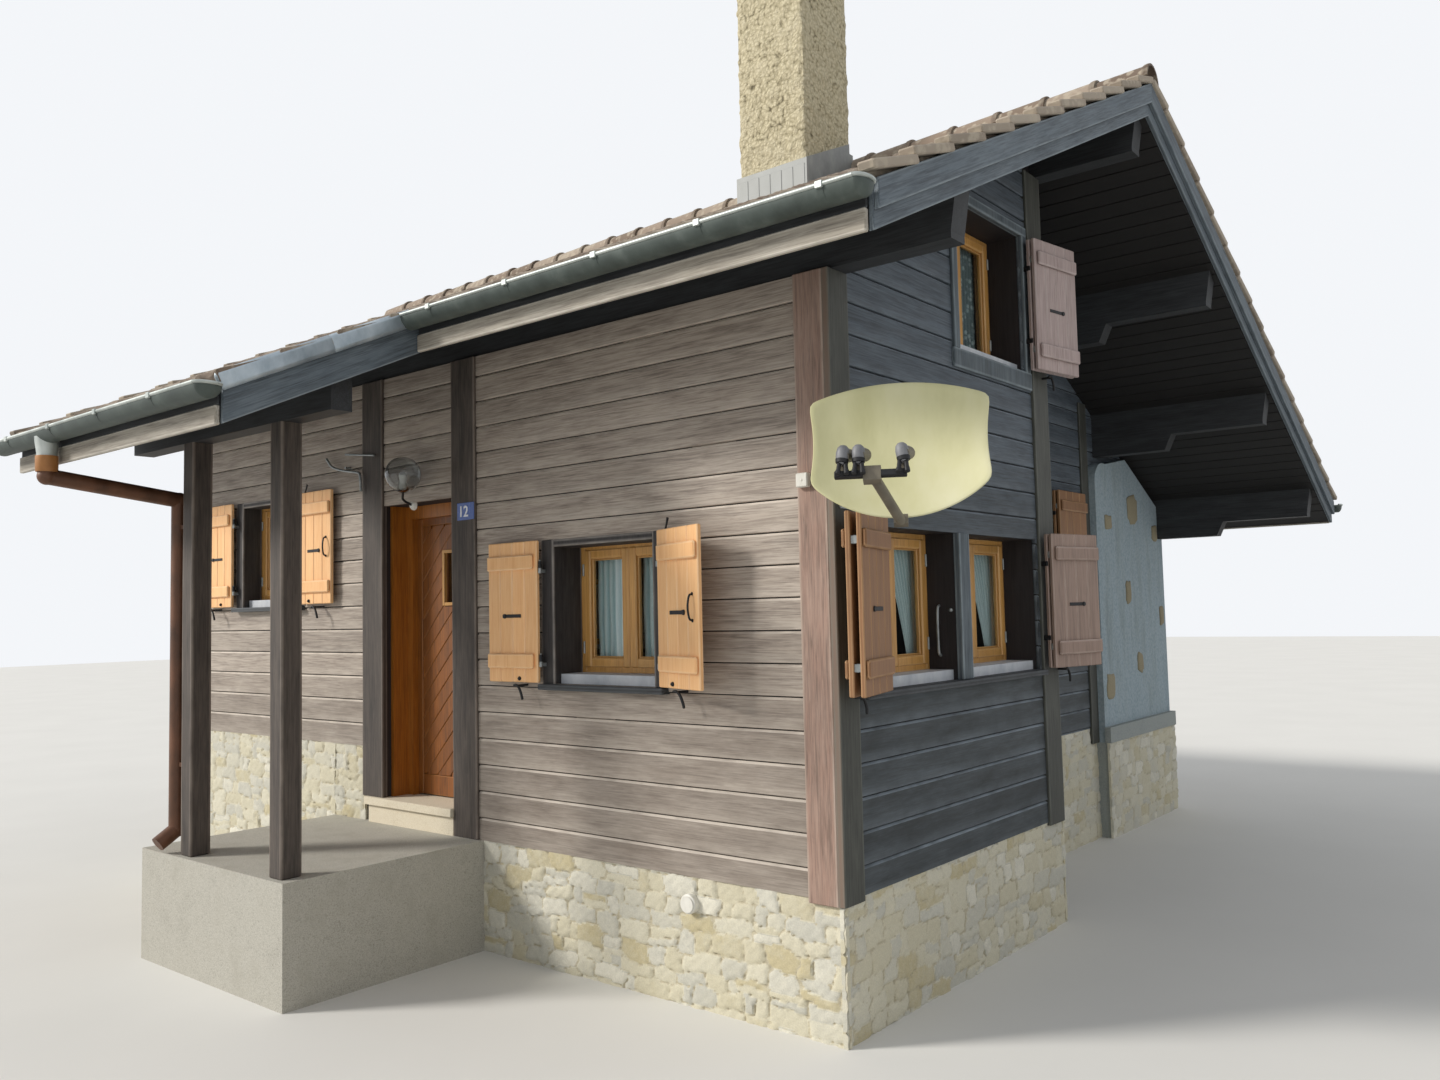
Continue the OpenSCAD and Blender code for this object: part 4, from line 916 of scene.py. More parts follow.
def stonework(wall, left, right, foot, head, seed, step=12.0):
    """A panel of stones. Each seed has its own half width a and half height b, and its distance is
    ((du / a)^3.2 + (dv / b)^3.2)^(1 / 3.2), so stones are blocky and of many sizes. F1 and F2 are
    the two smallest; joint is exp(-(F2 - F1) / 0.16) and the face stands out by the bulge times
    (1 - joint), plus each stone's own few millimetres and tilt."""
    rng = np.random.default_rng(seed)
    seeds = []
    z = foot - STONE_H
    while z < head + STONE_H:
        tall = STONE_H * rng.uniform(0.75, 1.3)
        x = left - STONE_L * rng.uniform(0.2, 1.2)
        while x < right + STONE_L:
            wide = STONE_L * rng.uniform(0.4, 1.7)
            low = z + tall * rng.uniform(-0.12, 0.12)
            split = rng.uniform(0.38, 0.62) if rng.uniform() < 0.28 and wide > 0.8 * STONE_L else 1.0
            seeds.append([x + wide / 2, low + tall * split / 2, wide / 2, tall * split / 2])
            if split < 1:
                seeds.append([x + wide / 2, low + tall * (1 + split) / 2, wide / 2, tall * (1 - split) / 2])
            x += wide
        z += tall
    seeds = np.array(seeds)
    own = rng.uniform(0, 1, (len(seeds), 3))
    u = np.linspace(left, right, max(2, int((right - left) / step) + 1))
    v = np.linspace(foot, head, max(2, int((head - foot) / step) + 1))
    U, V = np.meshgrid(u, v)
    WU = U + 9 * np.sin(V / 37 + own[0, 0] * 6) + 7 * np.sin(U / 29 + V / 53) + 4 * np.sin(V / 13 + U / 17)
    WV = V + 18 * np.sin(U / 190 + own[0, 1] * 6) + 8 * np.sin(U / 47 - V / 61) + 4 * np.sin(U / 15 - V / 19)
    du = np.abs(WU.ravel()[:, None] - seeds[None, :, 0]) / seeds[None, :, 2]
    dv = np.abs(WV.ravel()[:, None] - seeds[None, :, 1]) / seeds[None, :, 3]
    distance = (du ** 3.2 + dv ** 3.2) ** (1 / 3.2)
    order = np.argpartition(distance, 1, axis=1)[:, :2]
    near = np.take_along_axis(distance, order, 1)
    first = np.where(near[:, 0] <= near[:, 1], order[:, 0], order[:, 1])
    gap = np.abs(near[:, 1] - near[:, 0]).reshape(U.shape)
    joint = np.exp(-gap / 0.16)
    mine = own[first].reshape(*U.shape, 3)
    tilt = (mine[..., 1] - 0.5) * 0.08 * (U - seeds[first, 0].reshape(U.shape))
    rough = 2.2 * np.sin(U / 11 + mine[..., 2] * 9) * np.sin(V / 9 + mine[..., 0] * 9)
    out = 6 + (BULGE + 12 * (mine[..., 2] - 0.5) + tilt + rough) * (1 - joint)
    return slab(on_wall(wall, U, out, V), on_wall(wall, U, -3.0, V), stone=mine[..., 0], joint=joint)


# Panels on the sides that the photograph hides are drawn on a coarser grid
PANELS = {
    "stones_bay_front": [("front", -2815, 26, 0.0, PLINTH, 21)],
    "stones_bay_gable": [("bay", -26, BAY_D + 20, 0.0, PLINTH, 22)],
    "stones_porch": [("front", -HOUSE_L - 20, -4148, 0.0, HIGH_PLINTH, 23, 15),
                     ("front", -4152, -3791, 648, HIGH_PLINTH, 24, 13)],
    "stones_rear": [("back", BAY_OUT + WALL, HOUSE_L + 20, 0.0, HIGH_PLINTH, 25, 21),
                    ("recess", BAY_D + 20, 5130, 0.0, 930, 26, 17),
                    ("return", -BAY_OUT, 20, 0.0, PLINTH, 27, 17)],
    "stones_far": [("far", -HOUSE_D - 20, 20, 0.0, HIGH_PLINTH, 28, 21)],
    "stones_masonry_base": [("recess", 5112, 6868, 0.0, 800, 29, 17), ("back", 640, 1050, 0.0, 800, 30, 15)],
}
for name, panels in PANELS.items():
    bodies = [stonework(*panel) for panel in panels]
    if name == "stones_masonry_base":
        bodies[0]["points"][:, 0] += 110
    piece(name, bodies, limestone, 40)

# %% [markdown]
# ## Tiles
#
# The covering is one sheet on each slope, worked out as a height over the slope. Across the roof
# it rolls once per tile; down the roof each course climbs slowly to its nose and then drops to
# the next one. Noses wander by a few millimetres because tiles are never quite alike.

# %% Tile sheets


def tile_sheet(x0, x1, y_top, y_eave, seed, side=-1):
    """Rows step down the slope in courses, columns run along the roof. Height square to the slope
    is 8 + roll + climb, with roll = 11.7 (1 + cos) over the tile width and climb up to 25 at a
    nose; the sheet under it lies flat on the deck."""
    rng = np.random.default_rng(seed)
    run = abs(y_eave - y_top) / SLANT
    count = int(math.ceil(run / TILE_SHOW))
    share = np.array([0.0, 0.35, 0.7, 0.93, 0.985, 1.0])
    climb = np.array([0.0, 8.0, 17.0, 25.0, 24.0, 17.0])
    ends = run - TILE_SHOW * (count - 1 - np.arange(count))
    starts = np.concatenate([[0.0], ends[:-1]])
    down = (starts[:, None] + share * (ends - starts)[:, None]).ravel()
    lift = np.tile(climb, count)
    # The mark nose is painted shade: darkest on the drop at each nose, faint at each head under the nose
    # above
    nose = np.tile(np.array([0.25, 0.0, 0.0, 0.2, 0.9, 1.0]), count)
    course = np.repeat(np.arange(count), len(share))
    tiles = int(round((x1 - x0) / TILE_W))
    column = np.arange(tiles * 8 + 1)
    x = np.linspace(x0, x1, tiles * 8 + 1)
    cell = np.minimum((column / 8).astype(int), tiles - 1)
    roll = 13 * (1 + np.cos(2 * np.pi * column / 8)) * 0.9
    shade = rng.uniform(0, 1, (count, tiles))
    slip = rng.uniform(-5, 5, (count, tiles))
    rise = rng.uniform(-2.5, 2.5, (count, tiles))
    mine = (course[:, None], cell[None, :])
    D = down[:, None] + slip[mine] * (lift[:, None] / 25)
    H = 8 + roll[None] + lift[:, None] + rise[mine]
    y = y_top + side * D * SLANT
    base = RIDGE_Z + DECK - SLOPE * np.abs(y_top - RIDGE_Y) - D * SINE
    top = np.stack([np.broadcast_to(x, D.shape), y + side * H * SINE, base + H * SLANT], -1)
    under = np.stack([np.broadcast_to(x, D.shape), y, base + 1.0], -1)
    return slab(top, under, tile=shade[mine], nose=np.broadcast_to(nose[:, None], D.shape))


front_tiles = [tile_sheet(FAR_VERGE, VERGE, RIDGE_Y, -EAVE - 30, 31),
               tile_sheet(PORCH_LEFT, PORCH_RIGHT + COVER, -EAVE - 30, -PORCH_OUT - 30, 32)]
piece("tiles_front", front_tiles, clay, 35, "roof_tiles_front")
back_tiles = [tile_sheet(FAR_VERGE, VERGE, RIDGE_Y, BACK_EDGE + 30, 33, side=1)]
piece("tiles_back", back_tiles, clay, 35, "roof_tiles_back")


LIP_HEAD, LIP_NOSE = 16.0, 52.0


def verge_tiles(x, y_top, y_eave, side, seed):
    """At a verge each course ends in a thick lip. One bar for each course climbs from its head to
    its nose, 36 mm higher over the slope, so that the edge climbs like a stair."""
    rng = np.random.default_rng(seed)
    run = abs(y_eave - y_top) / SLANT
    count = int(math.ceil(run / TILE_SHOW))
    square = np.array([0, side * SINE, SLANT])
    top = np.array([x, y_top, RIDGE_Z + DECK - SLOPE * abs(y_top - RIDGE_Y)])
    down = np.array([0, side * SLANT, -SINE])
    found = []
    for k in range(count):
        nose = run - TILE_SHOW * (count - 1 - k) + rng.uniform(-4, 4)
        head = max(nose - TILE_SHOW - 25, 5.0)
        start, end = top + head * down + LIP_HEAD * square, top + nose * down + LIP_NOSE * square
        bar = timber(start, end, (1, 0, 0), square, 76, 38, arris=6, seed=seed + k, drift=0, wear=4)
        size = len(bar["points"])
        bar["marks"] = {"tile": np.full(size, rng.uniform(0.1, 0.9)), "nose": np.zeros(size)}
        found.append(bar)
    return found


edges = verge_tiles(PORCH_LEFT - COVER + 30, -EAVE - 30, -PORCH_OUT - 35, -1, 350)
for n, x in enumerate((VERGE + COVER - 30, FAR_VERGE - COVER + 30)):
    edges += verge_tiles(x, RIDGE_Y, -EAVE - 35, -1, 300 + 30 * n)
    edges += verge_tiles(x, RIDGE_Y, BACK_EDGE + 35, 1, 360 + 30 * n)
piece("verge_tiles", edges, verge_clay)
sheet_x, sheet_square = PORCH_RIGHT + 44, np.array([0, -SINE, SLANT])
sheets = [timber((sheet_x, y0, deck_top(y0) + 6), (sheet_x, y1, deck_top(y1) + 6), (1, 0, 0), sheet_square,
                 40, 92, arris=16, seed=45 + n, drift=0, wear=6)
          for n, (y0, y1) in enumerate([(-PORCH_OUT - 40, -1330), (-1350, -EAVE - 60)])]
piece("porch_verge_sheet", sheets, verge_sheet, 50)

# %% [markdown]
# ## Ridge caps
#
# Over the ridge lie half-round caps, each with a wider mouth that covers the narrow end of the
# one before it. A cap is a half ring carried along the ridge while its radius shrinks.

# %% Ridge caps


def ridge_cap(x, length, number):
    """Half a ring between 4 and 176 degrees; its radius runs from 104 at the mouth, which has a
    bead, to 92 at the tail."""
    share = np.array([0.0, 0.03, 0.08, 0.12, 0.6, 1.0])
    grow = np.array([6.0, 8.0, 7.0, 0.0, 0.0, 0.0])
    radius = 104 - 12 * share + grow
    angle = np.radians(np.linspace(4, 176, 15))
    centre_z = RIDGE_Z + DECK + 5.0
    X = np.broadcast_to((x + share * length)[:, None], (len(share), 15))

    def shell(r):
        return np.stack([X, RIDGE_Y - r[:, None] * np.cos(angle), centre_z + r[:, None] * np.sin(angle)], -1)

    # The mark nose paints shade on the bead at the mouth, which laps over the cap before
    return slab(shell(radius), shell(radius - 14), tile=number, nose=grow[:, None] / 9)


ridge_run = VERGE - FAR_VERGE + 2 * COVER
cap_count = int(ridge_run / 330)
cap_step = (ridge_run - 40) / cap_count
cap_shades = np.random.default_rng(34).uniform(0.1, 0.9, cap_count)
caps = [ridge_cap(VERGE + COVER - k * cap_step, -(cap_step + 35), shade)
        for k, shade in enumerate(cap_shades)]
piece("ridge_caps", caps, clay, 40, "ridge_tiles")

# %% [markdown]
# ## Boards at the roof's edge
#
# Barge boards climb both gables: a broad board, and a narrower one over its upper half that
# sheds the drip. Fascias close the eaves. Under the deck, soffit boards run with the ridge.

# %% Barge boards, fascias and soffit


def sloping_board(x, y0, y1, deep, seed):
    """A timber 25 mm thick up the slope with plumb ends, hanging from the top of the deck."""
    ends = [(x, y, float(soffit(y)) + DECK - deep / 2) for y in (y0, y1)]
    return timber(*ends, (1, 0, 0), UP, 25, deep, arris=3.5, seed=seed, wear=16)


BARGE_V, BARGE_COVER = 180.0 / SLANT, 110.0 / SLANT
barges = []
for gable, (x, side) in enumerate([(VERGE, 1), (FAR_VERGE, -1)]):
    for slope_no, (y0, y1) in enumerate([(-EAVE, RIDGE_Y), (RIDGE_Y, BACK_EDGE)]):
        seed = 40 + 4 * gable + 2 * slope_no
        barges.append(sloping_board(x + side * 12.5, y0, y1, BARGE_V, seed))
        barges.append(sloping_board(x + side * 37.5, y0, y1, BARGE_COVER, seed + 1))
for x in (PORCH_LEFT - 12.5, PORCH_RIGHT + 12.5):
    barges.append(sloping_board(x, -PORCH_OUT, -EAVE, BARGE_V, int(-x)))
piece("barge_timbers", barges, barge_wood, replaces="barge_boards")


def fascia(x0, x1, y, outward, out, low, high, seed):
    """An upright board at an eave, from low to high under the top of the deck."""
    edge = y + outward * out
    top = deck_top(y + outward * 25)
    near, far = [x0, min(y, edge), top - low], [x1, max(y, edge), top - high]
    return beam(near, far, "x", arris=5, seed=seed, wear=16)


eaves = [(PORCH_RIGHT + 25, VERGE, -EAVE, -1), (FAR_VERGE, PORCH_LEFT - 25, -EAVE, -1),
         (PORCH_LEFT, PORCH_RIGHT, -PORCH_OUT, -1), (FAR_VERGE, VERGE, BACK_EDGE, 1)]
fascias = [fascia(*eave, 25, 190, 98, 51 + n) for n, eave in enumerate(eaves)]
# Painted shadow: a dark board set back above each fascia stands for the gutter's shadow on its upper part
gutter_shadow_boards = [fascia(*eave, 14, 100, 0, 55 + n) for n, eave in enumerate(eaves)]
piece("fascia_timbers", fascias, pale_wood, replaces="fascia_boards")
piece("fascia_backing", gutter_shadow_boards, roof_timber)


def soffit_course(x0, x1, y, seed):
    """One board nailed under the deck, its faces following the slope."""
    tilt = 1 if y < RIDGE_Y else -1
    across, square = (0, SLANT, tilt * SINE), (0, -tilt * SINE, SLANT)
    z = float(soffit(y)) - 4
    return timber((x0, y, z), (x1, y, z), across, square, 123, 12, arris=3, seed=seed, drift=0.3, wear=6)


soffits = []
for x0, x1, y0, y1, seed in [(FAR_VERGE + 3, VERGE - 3, -EAVE + 60, RIDGE_Y - 60, 60),
                             (FAR_VERGE + 3, VERGE - 3, RIDGE_Y + 60, BACK_EDGE - 40, 100),
                             (PORCH_LEFT + 3, PORCH_RIGHT - 3, -PORCH_OUT + 60, -EAVE, 160)]:
    soffits += [soffit_course(x0, x1, y, seed + n) for n, y in enumerate(np.arange(y0, y1, 118))]
piece("soffit_courses", soffits, soffit_wood)

# %% [markdown]
# ## Posts, trims and ledges
#
# The porch posts, the boards beside the doorway, the casing of the attic window and the ledges
# under the windows are plain timbers whose arrises catch the light.

# %% Posts and trims
POST_OUT = 1220.0
POST_TOP = float(soffit(-POST_OUT - 60)) - 135
posts = [beam([x - 60, -POST_OUT - 60, PLINTH], [x + 60, -POST_OUT + 60, POST_TOP], "z", arris=6,
              seed=int(-x)) for x in (-3670, -2680)]
piece("porch_post_timbers", posts, upright_dark, replaces="porch_posts")
door_boards = [((-3790, -38, 816), (-3560, 2, WALL_TOP)), ((-2815, -38, PLINTH), (-2585, 2, WALL_TOP))]
corner_set = [((-168, -40, 630), (1, 0, WALL_TOP + 1)),
              ((-HOUSE_L, -38, HIGH_PLINTH - 10), (-HOUSE_L + 168, 0, WALL_TOP + 1))]
side_set = [((0, -40, 630), (38, 135, WALL_TOP + 1)), ((0, 2280, 630), (38, 2500, 4762)),
            ((-BAY_OUT, 4980, 800), (-BAY_OUT + 38, 5130, 3722))]
for name, boxes, finish, replaced, seed in [("door_side_boards", door_boards, upright_dark, "door_posts", 71),
                                            ("corner_post_front", corner_set, red_post, "corner_boards", 75),
                                            ("corner_post_side", side_set, corner_post, None, 77)]:
    trims = [beam(*box, "z", arris=4, seed=seed + n) for n, box in enumerate(boxes)]
    piece(name, trims, finish, replaces=replaced)

_, x, z, w, h, _ = WINDOWS["attic"]
CASING = [(x - 60, x, z - 2, z + h + 2, "z", 81), (x + w, x + w + 60, z - 2, z + h + 2, "z", 82),
          (x - 66, x + w + 66, z + h, z + h + 60, "u", 83), (x - 72, x + w + 72, z - 110, z, "u", 84),
          (1200, 1317, 1590, 2395, "z", 89)]
casings = [board_on("bay", u0, u1, 40, 0, z0, z1, grain, arris=4, seed=seed)
           for u0, u1, z0, z1, grain, seed in CASING]
piece("window_casing_boards", casings, casing_wood, replaces="window_casings")

ledges = []
for number, (name, (wall, x, z, w, h, _)) in enumerate(WINDOWS.items()):
    if name in ("attic", "bay_right"):
        continue
    left, right = (165, 2250) if name == "bay_left" else (x - 30, x + w + 30)
    ledges.append(board_on(wall, left, right, 75, 0, z - 32, z, "u", arris=5, seed=90 + number))
piece("ledge_timbers", ledges, roof_timber, replaces="window_ledges")

# %% [markdown]
# ## Windows
#
# A frame stands deep in each opening, and its casements close on a broad meeting stile. On the
# entrance side dark lining boards narrow the opening and carry the hinge pins. Every stile and
# rail is a timber with planed edges, and a thin bead holds each pane.

# %% Linings, frames, casements and panes
linings, frames, casements, panes, hinge_pins, pane_places = [], [], [], [], [], {}


def ring_of_timber(wall, u0, u1, z0, z1, wide, out0, out1, seed, arris):
    """Two stiles the full height, with a rail between them at the foot and the head."""
    bars = [(u0, u0 + wide, out1, z0, z1, "z"), (u1 - wide, u1, out1, z0, z1, "z"),
            (u0 + wide, u1 - wide, out1 - 1, z0, z0 + wide, "u"),
            (u0 + wide, u1 - wide, out1 - 1, z1 - wide, z1, "u")]
    return [board_on(wall, a, b, out0, face, low, high, grain, arris=arris, seed=seed + n, drift=0.2, wear=6)
            for n, (a, b, face, low, high, grain) in enumerate(bars)]


def joinery(name, lining, deep, share, seed):
    """One window from its lining to its panes. share is where the casements meet."""
    wall, x, z, w, h, leaves = WINDOWS[name]
    left, right, foot, head = x + lining, x + w - lining, z + 55, z + h
    if lining:
        boards = [(x - 38, left, 27, z - 2, "z", 1), (right, x + w + 38, 27, z - 2, "z", 1),
                  (left, right, 26, z + h - 12, "u", 2)]
        for u0, u1, out, low, grain, n in boards:
            linings.append(board_on(wall, u0, u1, -deep + 2, out, low, z + h + 30, grain, arris=4,
                                    seed=seed + n))
    frames.extend(ring_of_timber(wall, left - 14, right + 14, foot, head, 42, -deep - 60, -deep,
                                 seed + 3, 3.0))
    a, b = left + 22, right - 22
    meets = [a, b] if leaves == 1 else [a, a + share * (b - a), b]
    pane_places[name] = []
    for n, (u0, u1) in enumerate(zip(meets, meets[1:])):
        u0, u1 = u0 + 1.5 * (n > 0), u1 - 1.5 * (n < leaves - 1)
        casements.extend(ring_of_timber(wall, u0, u1, foot + 30, head - 28, 54, -deep - 44, -deep + 9,
                                        seed + 10 + 4 * n, 7.0))
        u0, u1, z0, z1 = u0 + 54, u1 - 54, foot + 84, head - 82
        casements.extend(ring_of_timber(wall, u0 - 2, u1 + 2, z0 - 2, z1 + 2, 12, -deep - 36, -deep - 8,
                                        seed + 20 + 4 * n, 4.0))
        panes.append(board_on(wall, u0, u1, -deep - 30, -deep - 24, z0, z1, "z", arris=0.8, drift=0, wear=1))
        pane_places[name].append((u0, u1, z0, z1, -deep))
    for u in (a + 3, b - 3):
        for level in (foot + 110, head - 180):
            pin = [(2, 0), (7, 1), (7, 69), (2, 70)]
            hinge_pins.append(turned(pin, on_wall(wall, u, -deep + 12, level), UP, 12))


# window, lining, depth of the frame in the wall, where the casements meet
JOINERY = [("front", 65, 200, 0.5), ("porch", 65, 130, 0.5), ("bay_left", 0, 172, 0.56),
           ("bay_right", 0, 200, 0.5), ("attic", 0, 200, 0.5), ("recess", 0, 200, 0.5),
           ("far_attic", 0, 200, 0.5), ("back_left", 65, 200, 0.5), ("back_right", 65, 200, 0.5),
           ("far", 65, 200, 0.5)]
for n, row in enumerate(JOINERY):
    joinery(*row, 210 + 30 * n)
piece("window_linings", linings, lining_wood)
piece("frame_timbers", frames, window_wood, replaces="window_frames")
casement_piece = piece("casement_timbers", casements, window_wood,
                       replaces="window_casements")
piece("glass_panes", panes, window_glass, replaces="window_panes")
piece("casement_hinges", hinge_pins, galvanised, 40)

# %% [markdown]
# ## Shutters
#
# A leaf is four upright boards held by two bevelled battens. A slotted iron plate sits in the
# middle, a bow handle near the closing edge, and strap hinges run behind the boards. The leaf is
# drawn flat from its hinge axis and then set on the wall, turned as far as it stands open.

# %% Leaf and its ironwork
AXIS_OUT, AXIS_SIDE = 64.0, 6.0
LEAF_START, LEAF_FACE = 15.0, -12.0


def leaf_boards(wide, foot, tall, start, middle):
    """Four upright boards, 24 mm thick about the depth middle."""
    width = wide / 4
    found = []
    for k in range(4):
        low, high = start + k * width + 1.0, start + (k + 1) * width - 1.0
        found.append(beam([low, middle - 12, foot], [high, middle + 12, foot + tall], "z", arris=4.5,
                          seed=int(foot + 7 * k + wide), drift=0.2, wear=5))
    return found


def battens(wide, foot, tall, start, face):
    """Two bevelled battens, 20 mm thick behind their face."""
    return [beam([start + 25, face, z], [start + wide - 8, face + 20, z + 85], "x", arris=7,
                 seed=int(z), drift=0.2, wear=6) for z in (foot + 80, foot + tall - 165)]


def leaf_plate(wide, foot, tall, start, face):
    """The slotted plate: a flat bar with a turned end."""
    middle, z = start + wide * 0.5, foot + tall * 0.47
    return [strip([middle - 78, face - 4, z - 10], [middle + 78, face, z + 10], "x", 1.5),
            turned([(2, 9), (13, 8), (14, 0), (3, -1)], (middle + 66, face, z), OUT_FRONT, 12)]


def bow_handle(x, z):
    """A bent rod that stands out from two feet."""
    bend = [(0, 0, -66), (4, -22, -60), (12, -36, 0), (4, -22, 60), (0, 0, 66)]
    path = smooth_path(np.array(bend) + (x, LEAF_FACE, z))
    feet = [turned([(9, -1), (9, 3), (3, 5)], (x, LEAF_FACE, z + way * 66), OUT_FRONT, 10)
            for way in (-1, 1)]
    return [tube(path, 5.5, 8)] + feet


def strap_hinges(wide, foot, tall):
    """Knuckle and long strap on the wall side of a leaf."""
    found = []
    for z in (foot + 120, foot + tall - 160):
        found.append(sleeve(10.0, 5.3, z, z + 40))
        found.append(strip([0, 6, z + 2], [LEAF_START + 4, 11, z + 38], "x", 1))
        found.append(strip([LEAF_START - 1, 12, z], [LEAF_START + wide * 0.8, 17, z + 40], "x", 1.5))
    return found


def sleeve(outer, inner, z0, z1, sides=20):
    """A short pipe round the axis: a rectangle of wall carried round a circle and joined to itself."""
    angle = np.arange(sides) * 2 * np.pi / sides
    section = np.array([(inner, z0), (outer, z0), (outer, z1), (inner, z1)])
    points = np.stack([section[:, 0, None] * np.cos(angle), section[:, 0, None] * np.sin(angle),
                       np.broadcast_to(section[:, 1, None], (4, sides))], -1)
    return body_of(points.reshape(-1, 3), [grid_faces(5, sides, ring=True) % (4 * sides)])


def set_on_wall(bodies, wall, x, out, side, swing):
    """Turns bodies drawn from a hinge axis by swing degrees, mirrors them for a left leaf, and
    moves the axis to x along the wall and out of its face."""
    turn = math.radians(-swing)
    found = []
    for b in bodies:
        p = b["points"]
        px = p[:, 0] * math.cos(turn) - p[:, 1] * math.sin(turn)
        py = p[:, 0] * math.sin(turn) + p[:, 1] * math.cos(turn)
        found.append({**b, "points": on_wall(wall, x + side * px, out - py, p[:, 2])})
    return found


def hung_shutter(window, hand, swing):
    """A single leaf on its pins beside a window, with the hook's catch at its foot. The right leaf
    also has the handle and the bolt."""
    wall, x, z, w, h, _ = WINDOWS[window]
    wide, foot, tall = w / 2 - 25 + AXIS_SIDE, z + 8.0, h + 20.0
    side = -1 if hand == "left" else 1
    axis = x - AXIS_SIDE if side < 0 else x + w + AXIS_SIDE
    boards = leaf_boards(wide, foot, tall, LEAF_START, 0.0)
    boards += battens(wide, foot, tall, LEAF_START, LEAF_FACE - 20)
    iron = leaf_plate(wide, foot, tall, LEAF_START, LEAF_FACE) + strap_hinges(wide, foot, tall)
    catch = [(2, -2), (12, 0), (12, 5), (7, 12), (2, 14)]
    iron.append(turned(catch, (LEAF_START + wide * 0.36, LEAF_FACE, foot + 22), OUT_FRONT, 12))
    if side > 0:
        iron += bow_handle(LEAF_START + wide * 0.86, foot + tall * 0.5)
        bolt = [(LEAF_START + wide * share, y, foot + tall + rise)
                for share, y, rise in ((0.2, -4, -8), (0.26, -8, 26), (0.31, -14, 52))]
        iron.append(tube(bolt, [5, 5.5, 7], 8))
    rides = f"{window}_{hand}_shutter"
    boards, iron = [set_on_wall(part, wall, axis, AXIS_OUT, side, swing) for part in (boards, iron)]
    piece(rides + "_boards", boards, sunny_shutter, replaces=f"shutter_{window}_{hand}",
          rides=rides)
    piece(rides + "_ironwork", iron, black_iron, 35, rides=rides)


for window, hand, swing in [("front", "left", 0), ("front", "right", 20), ("porch", "left", 0),
                            ("porch", "right", 0)]:
    hung_shutter(window, hand, swing)

# %% [markdown]
# ## Folding pairs
#
# At the gable windows a leaf is folded back on itself: two boarded layers with pale hinge
# barrels between their edges, carried by brackets.

# %% Folded pairs
FOLD_OUT = 60.0
folded_iron, hinge_barrels = [], []


def folded_pair(wall, x, z, wide, tall, swing, side=1, gap=12.0):
    """Two layers one behind the other; the outer one shows its plate and battens. Returns the
    wood; iron and barrels of all pairs are gathered."""
    step = 24 + gap
    layers = leaf_boards(wide, z, tall, 0.0, -step - 12) + battens(wide, z, tall, 0.0, -step - 44)
    layers += leaf_boards(wide, z, tall, 0.0, LEAF_FACE) + battens(wide, z, tall, 0.0, 0)
    iron = leaf_plate(wide, z, tall, 0.0, -step - 24)
    for level in (z + 170, z + tall - 200):
        iron.append(strip([-4, -24, level], [8, FOLD_OUT - 6, level + 30], "y", 2))
    barrels = []
    for level in (z + 110, z + tall - 150):
        for u in (wide - 22, 12):
            barrels.append(turned([(2, 0), (8, 1), (8, 39), (2, 40)], (u, -24 - gap / 2, level), UP, 14))
            barrels.append(strip([u - 10, -24 - gap, level + 2], [u + 10, -24, level + 38], "z", 1))
    folded_iron.extend(set_on_wall(iron, wall, x, FOLD_OUT, side, swing))
    hinge_barrels.extend(set_on_wall(barrels, wall, x, FOLD_OUT, side, swing))
    return set_on_wall(layers, wall, x, FOLD_OUT, side, swing)


folded_corner = folded_pair("bay", 260, 1598, 460, 830, 15.5, -1, 30)
folded_bay = folded_pair("bay", 2286, 1598, 470, 830, 14)
folded_attic = folded_pair("bay", 2195, 3448, 460, 830, 10)
folded_back = folded_pair("recess", 4268, 2098, 560, 810, 0)
piece("folded_shutter_corner", folded_corner, brown_shutter)
piece("folded_shutter_attic", folded_attic, pink_shutter, replaces="folded_shutters")
piece("folded_shutter_bay", folded_bay, bay_shutter)
piece("folded_shutter_set_back", folded_back, brown_shutter)
piece("folded_shutter_iron", folded_iron, black_iron, 35)
piece("folded_shutter_barrels", hinge_barrels, galvanised, 35)

# %% [markdown]
# ## Hold-backs and small things on the walls
#
# A hook under each open shutter, a vent cap in the plinth, a small box on the corner post and a
# bent rod high on the porch wall.

# %% Small things on the walls


def hook(wall, x, z, reach=96.0):
    """A spike out of the wall that carries a bent arm across the foot of the leaf."""
    spike = tube(on_wall(wall, x, np.array([-2.0, reach * 0.5, reach + 4]), z), 7, 8)
    bend = [(-34, reach, 2), (-6, reach + 4, 6), (18, reach + 4, -14), (36, reach + 4, -52), (40, reach, -80)]
    path = smooth_path(bend)
    radius = [6] + [7.5] * (len(path) - 2) + [5]
    arm = tube(on_wall(wall, x + path[:, 0], path[:, 1], z + path[:, 2]), radius, 8)
    return [spike, arm]


hooks = []
for wall, x, z in [("front", -2132, 1590), ("front", -900, 1586), ("front", -5760, 2090),
                   ("front", -4290, 2086), ("bay", 60, 1580), ("bay", 2490, 1580), ("bay", 2420, 3430)]:
    hooks += hook(wall, x, z)
piece("hold_backs", hooks, black_iron, 40)

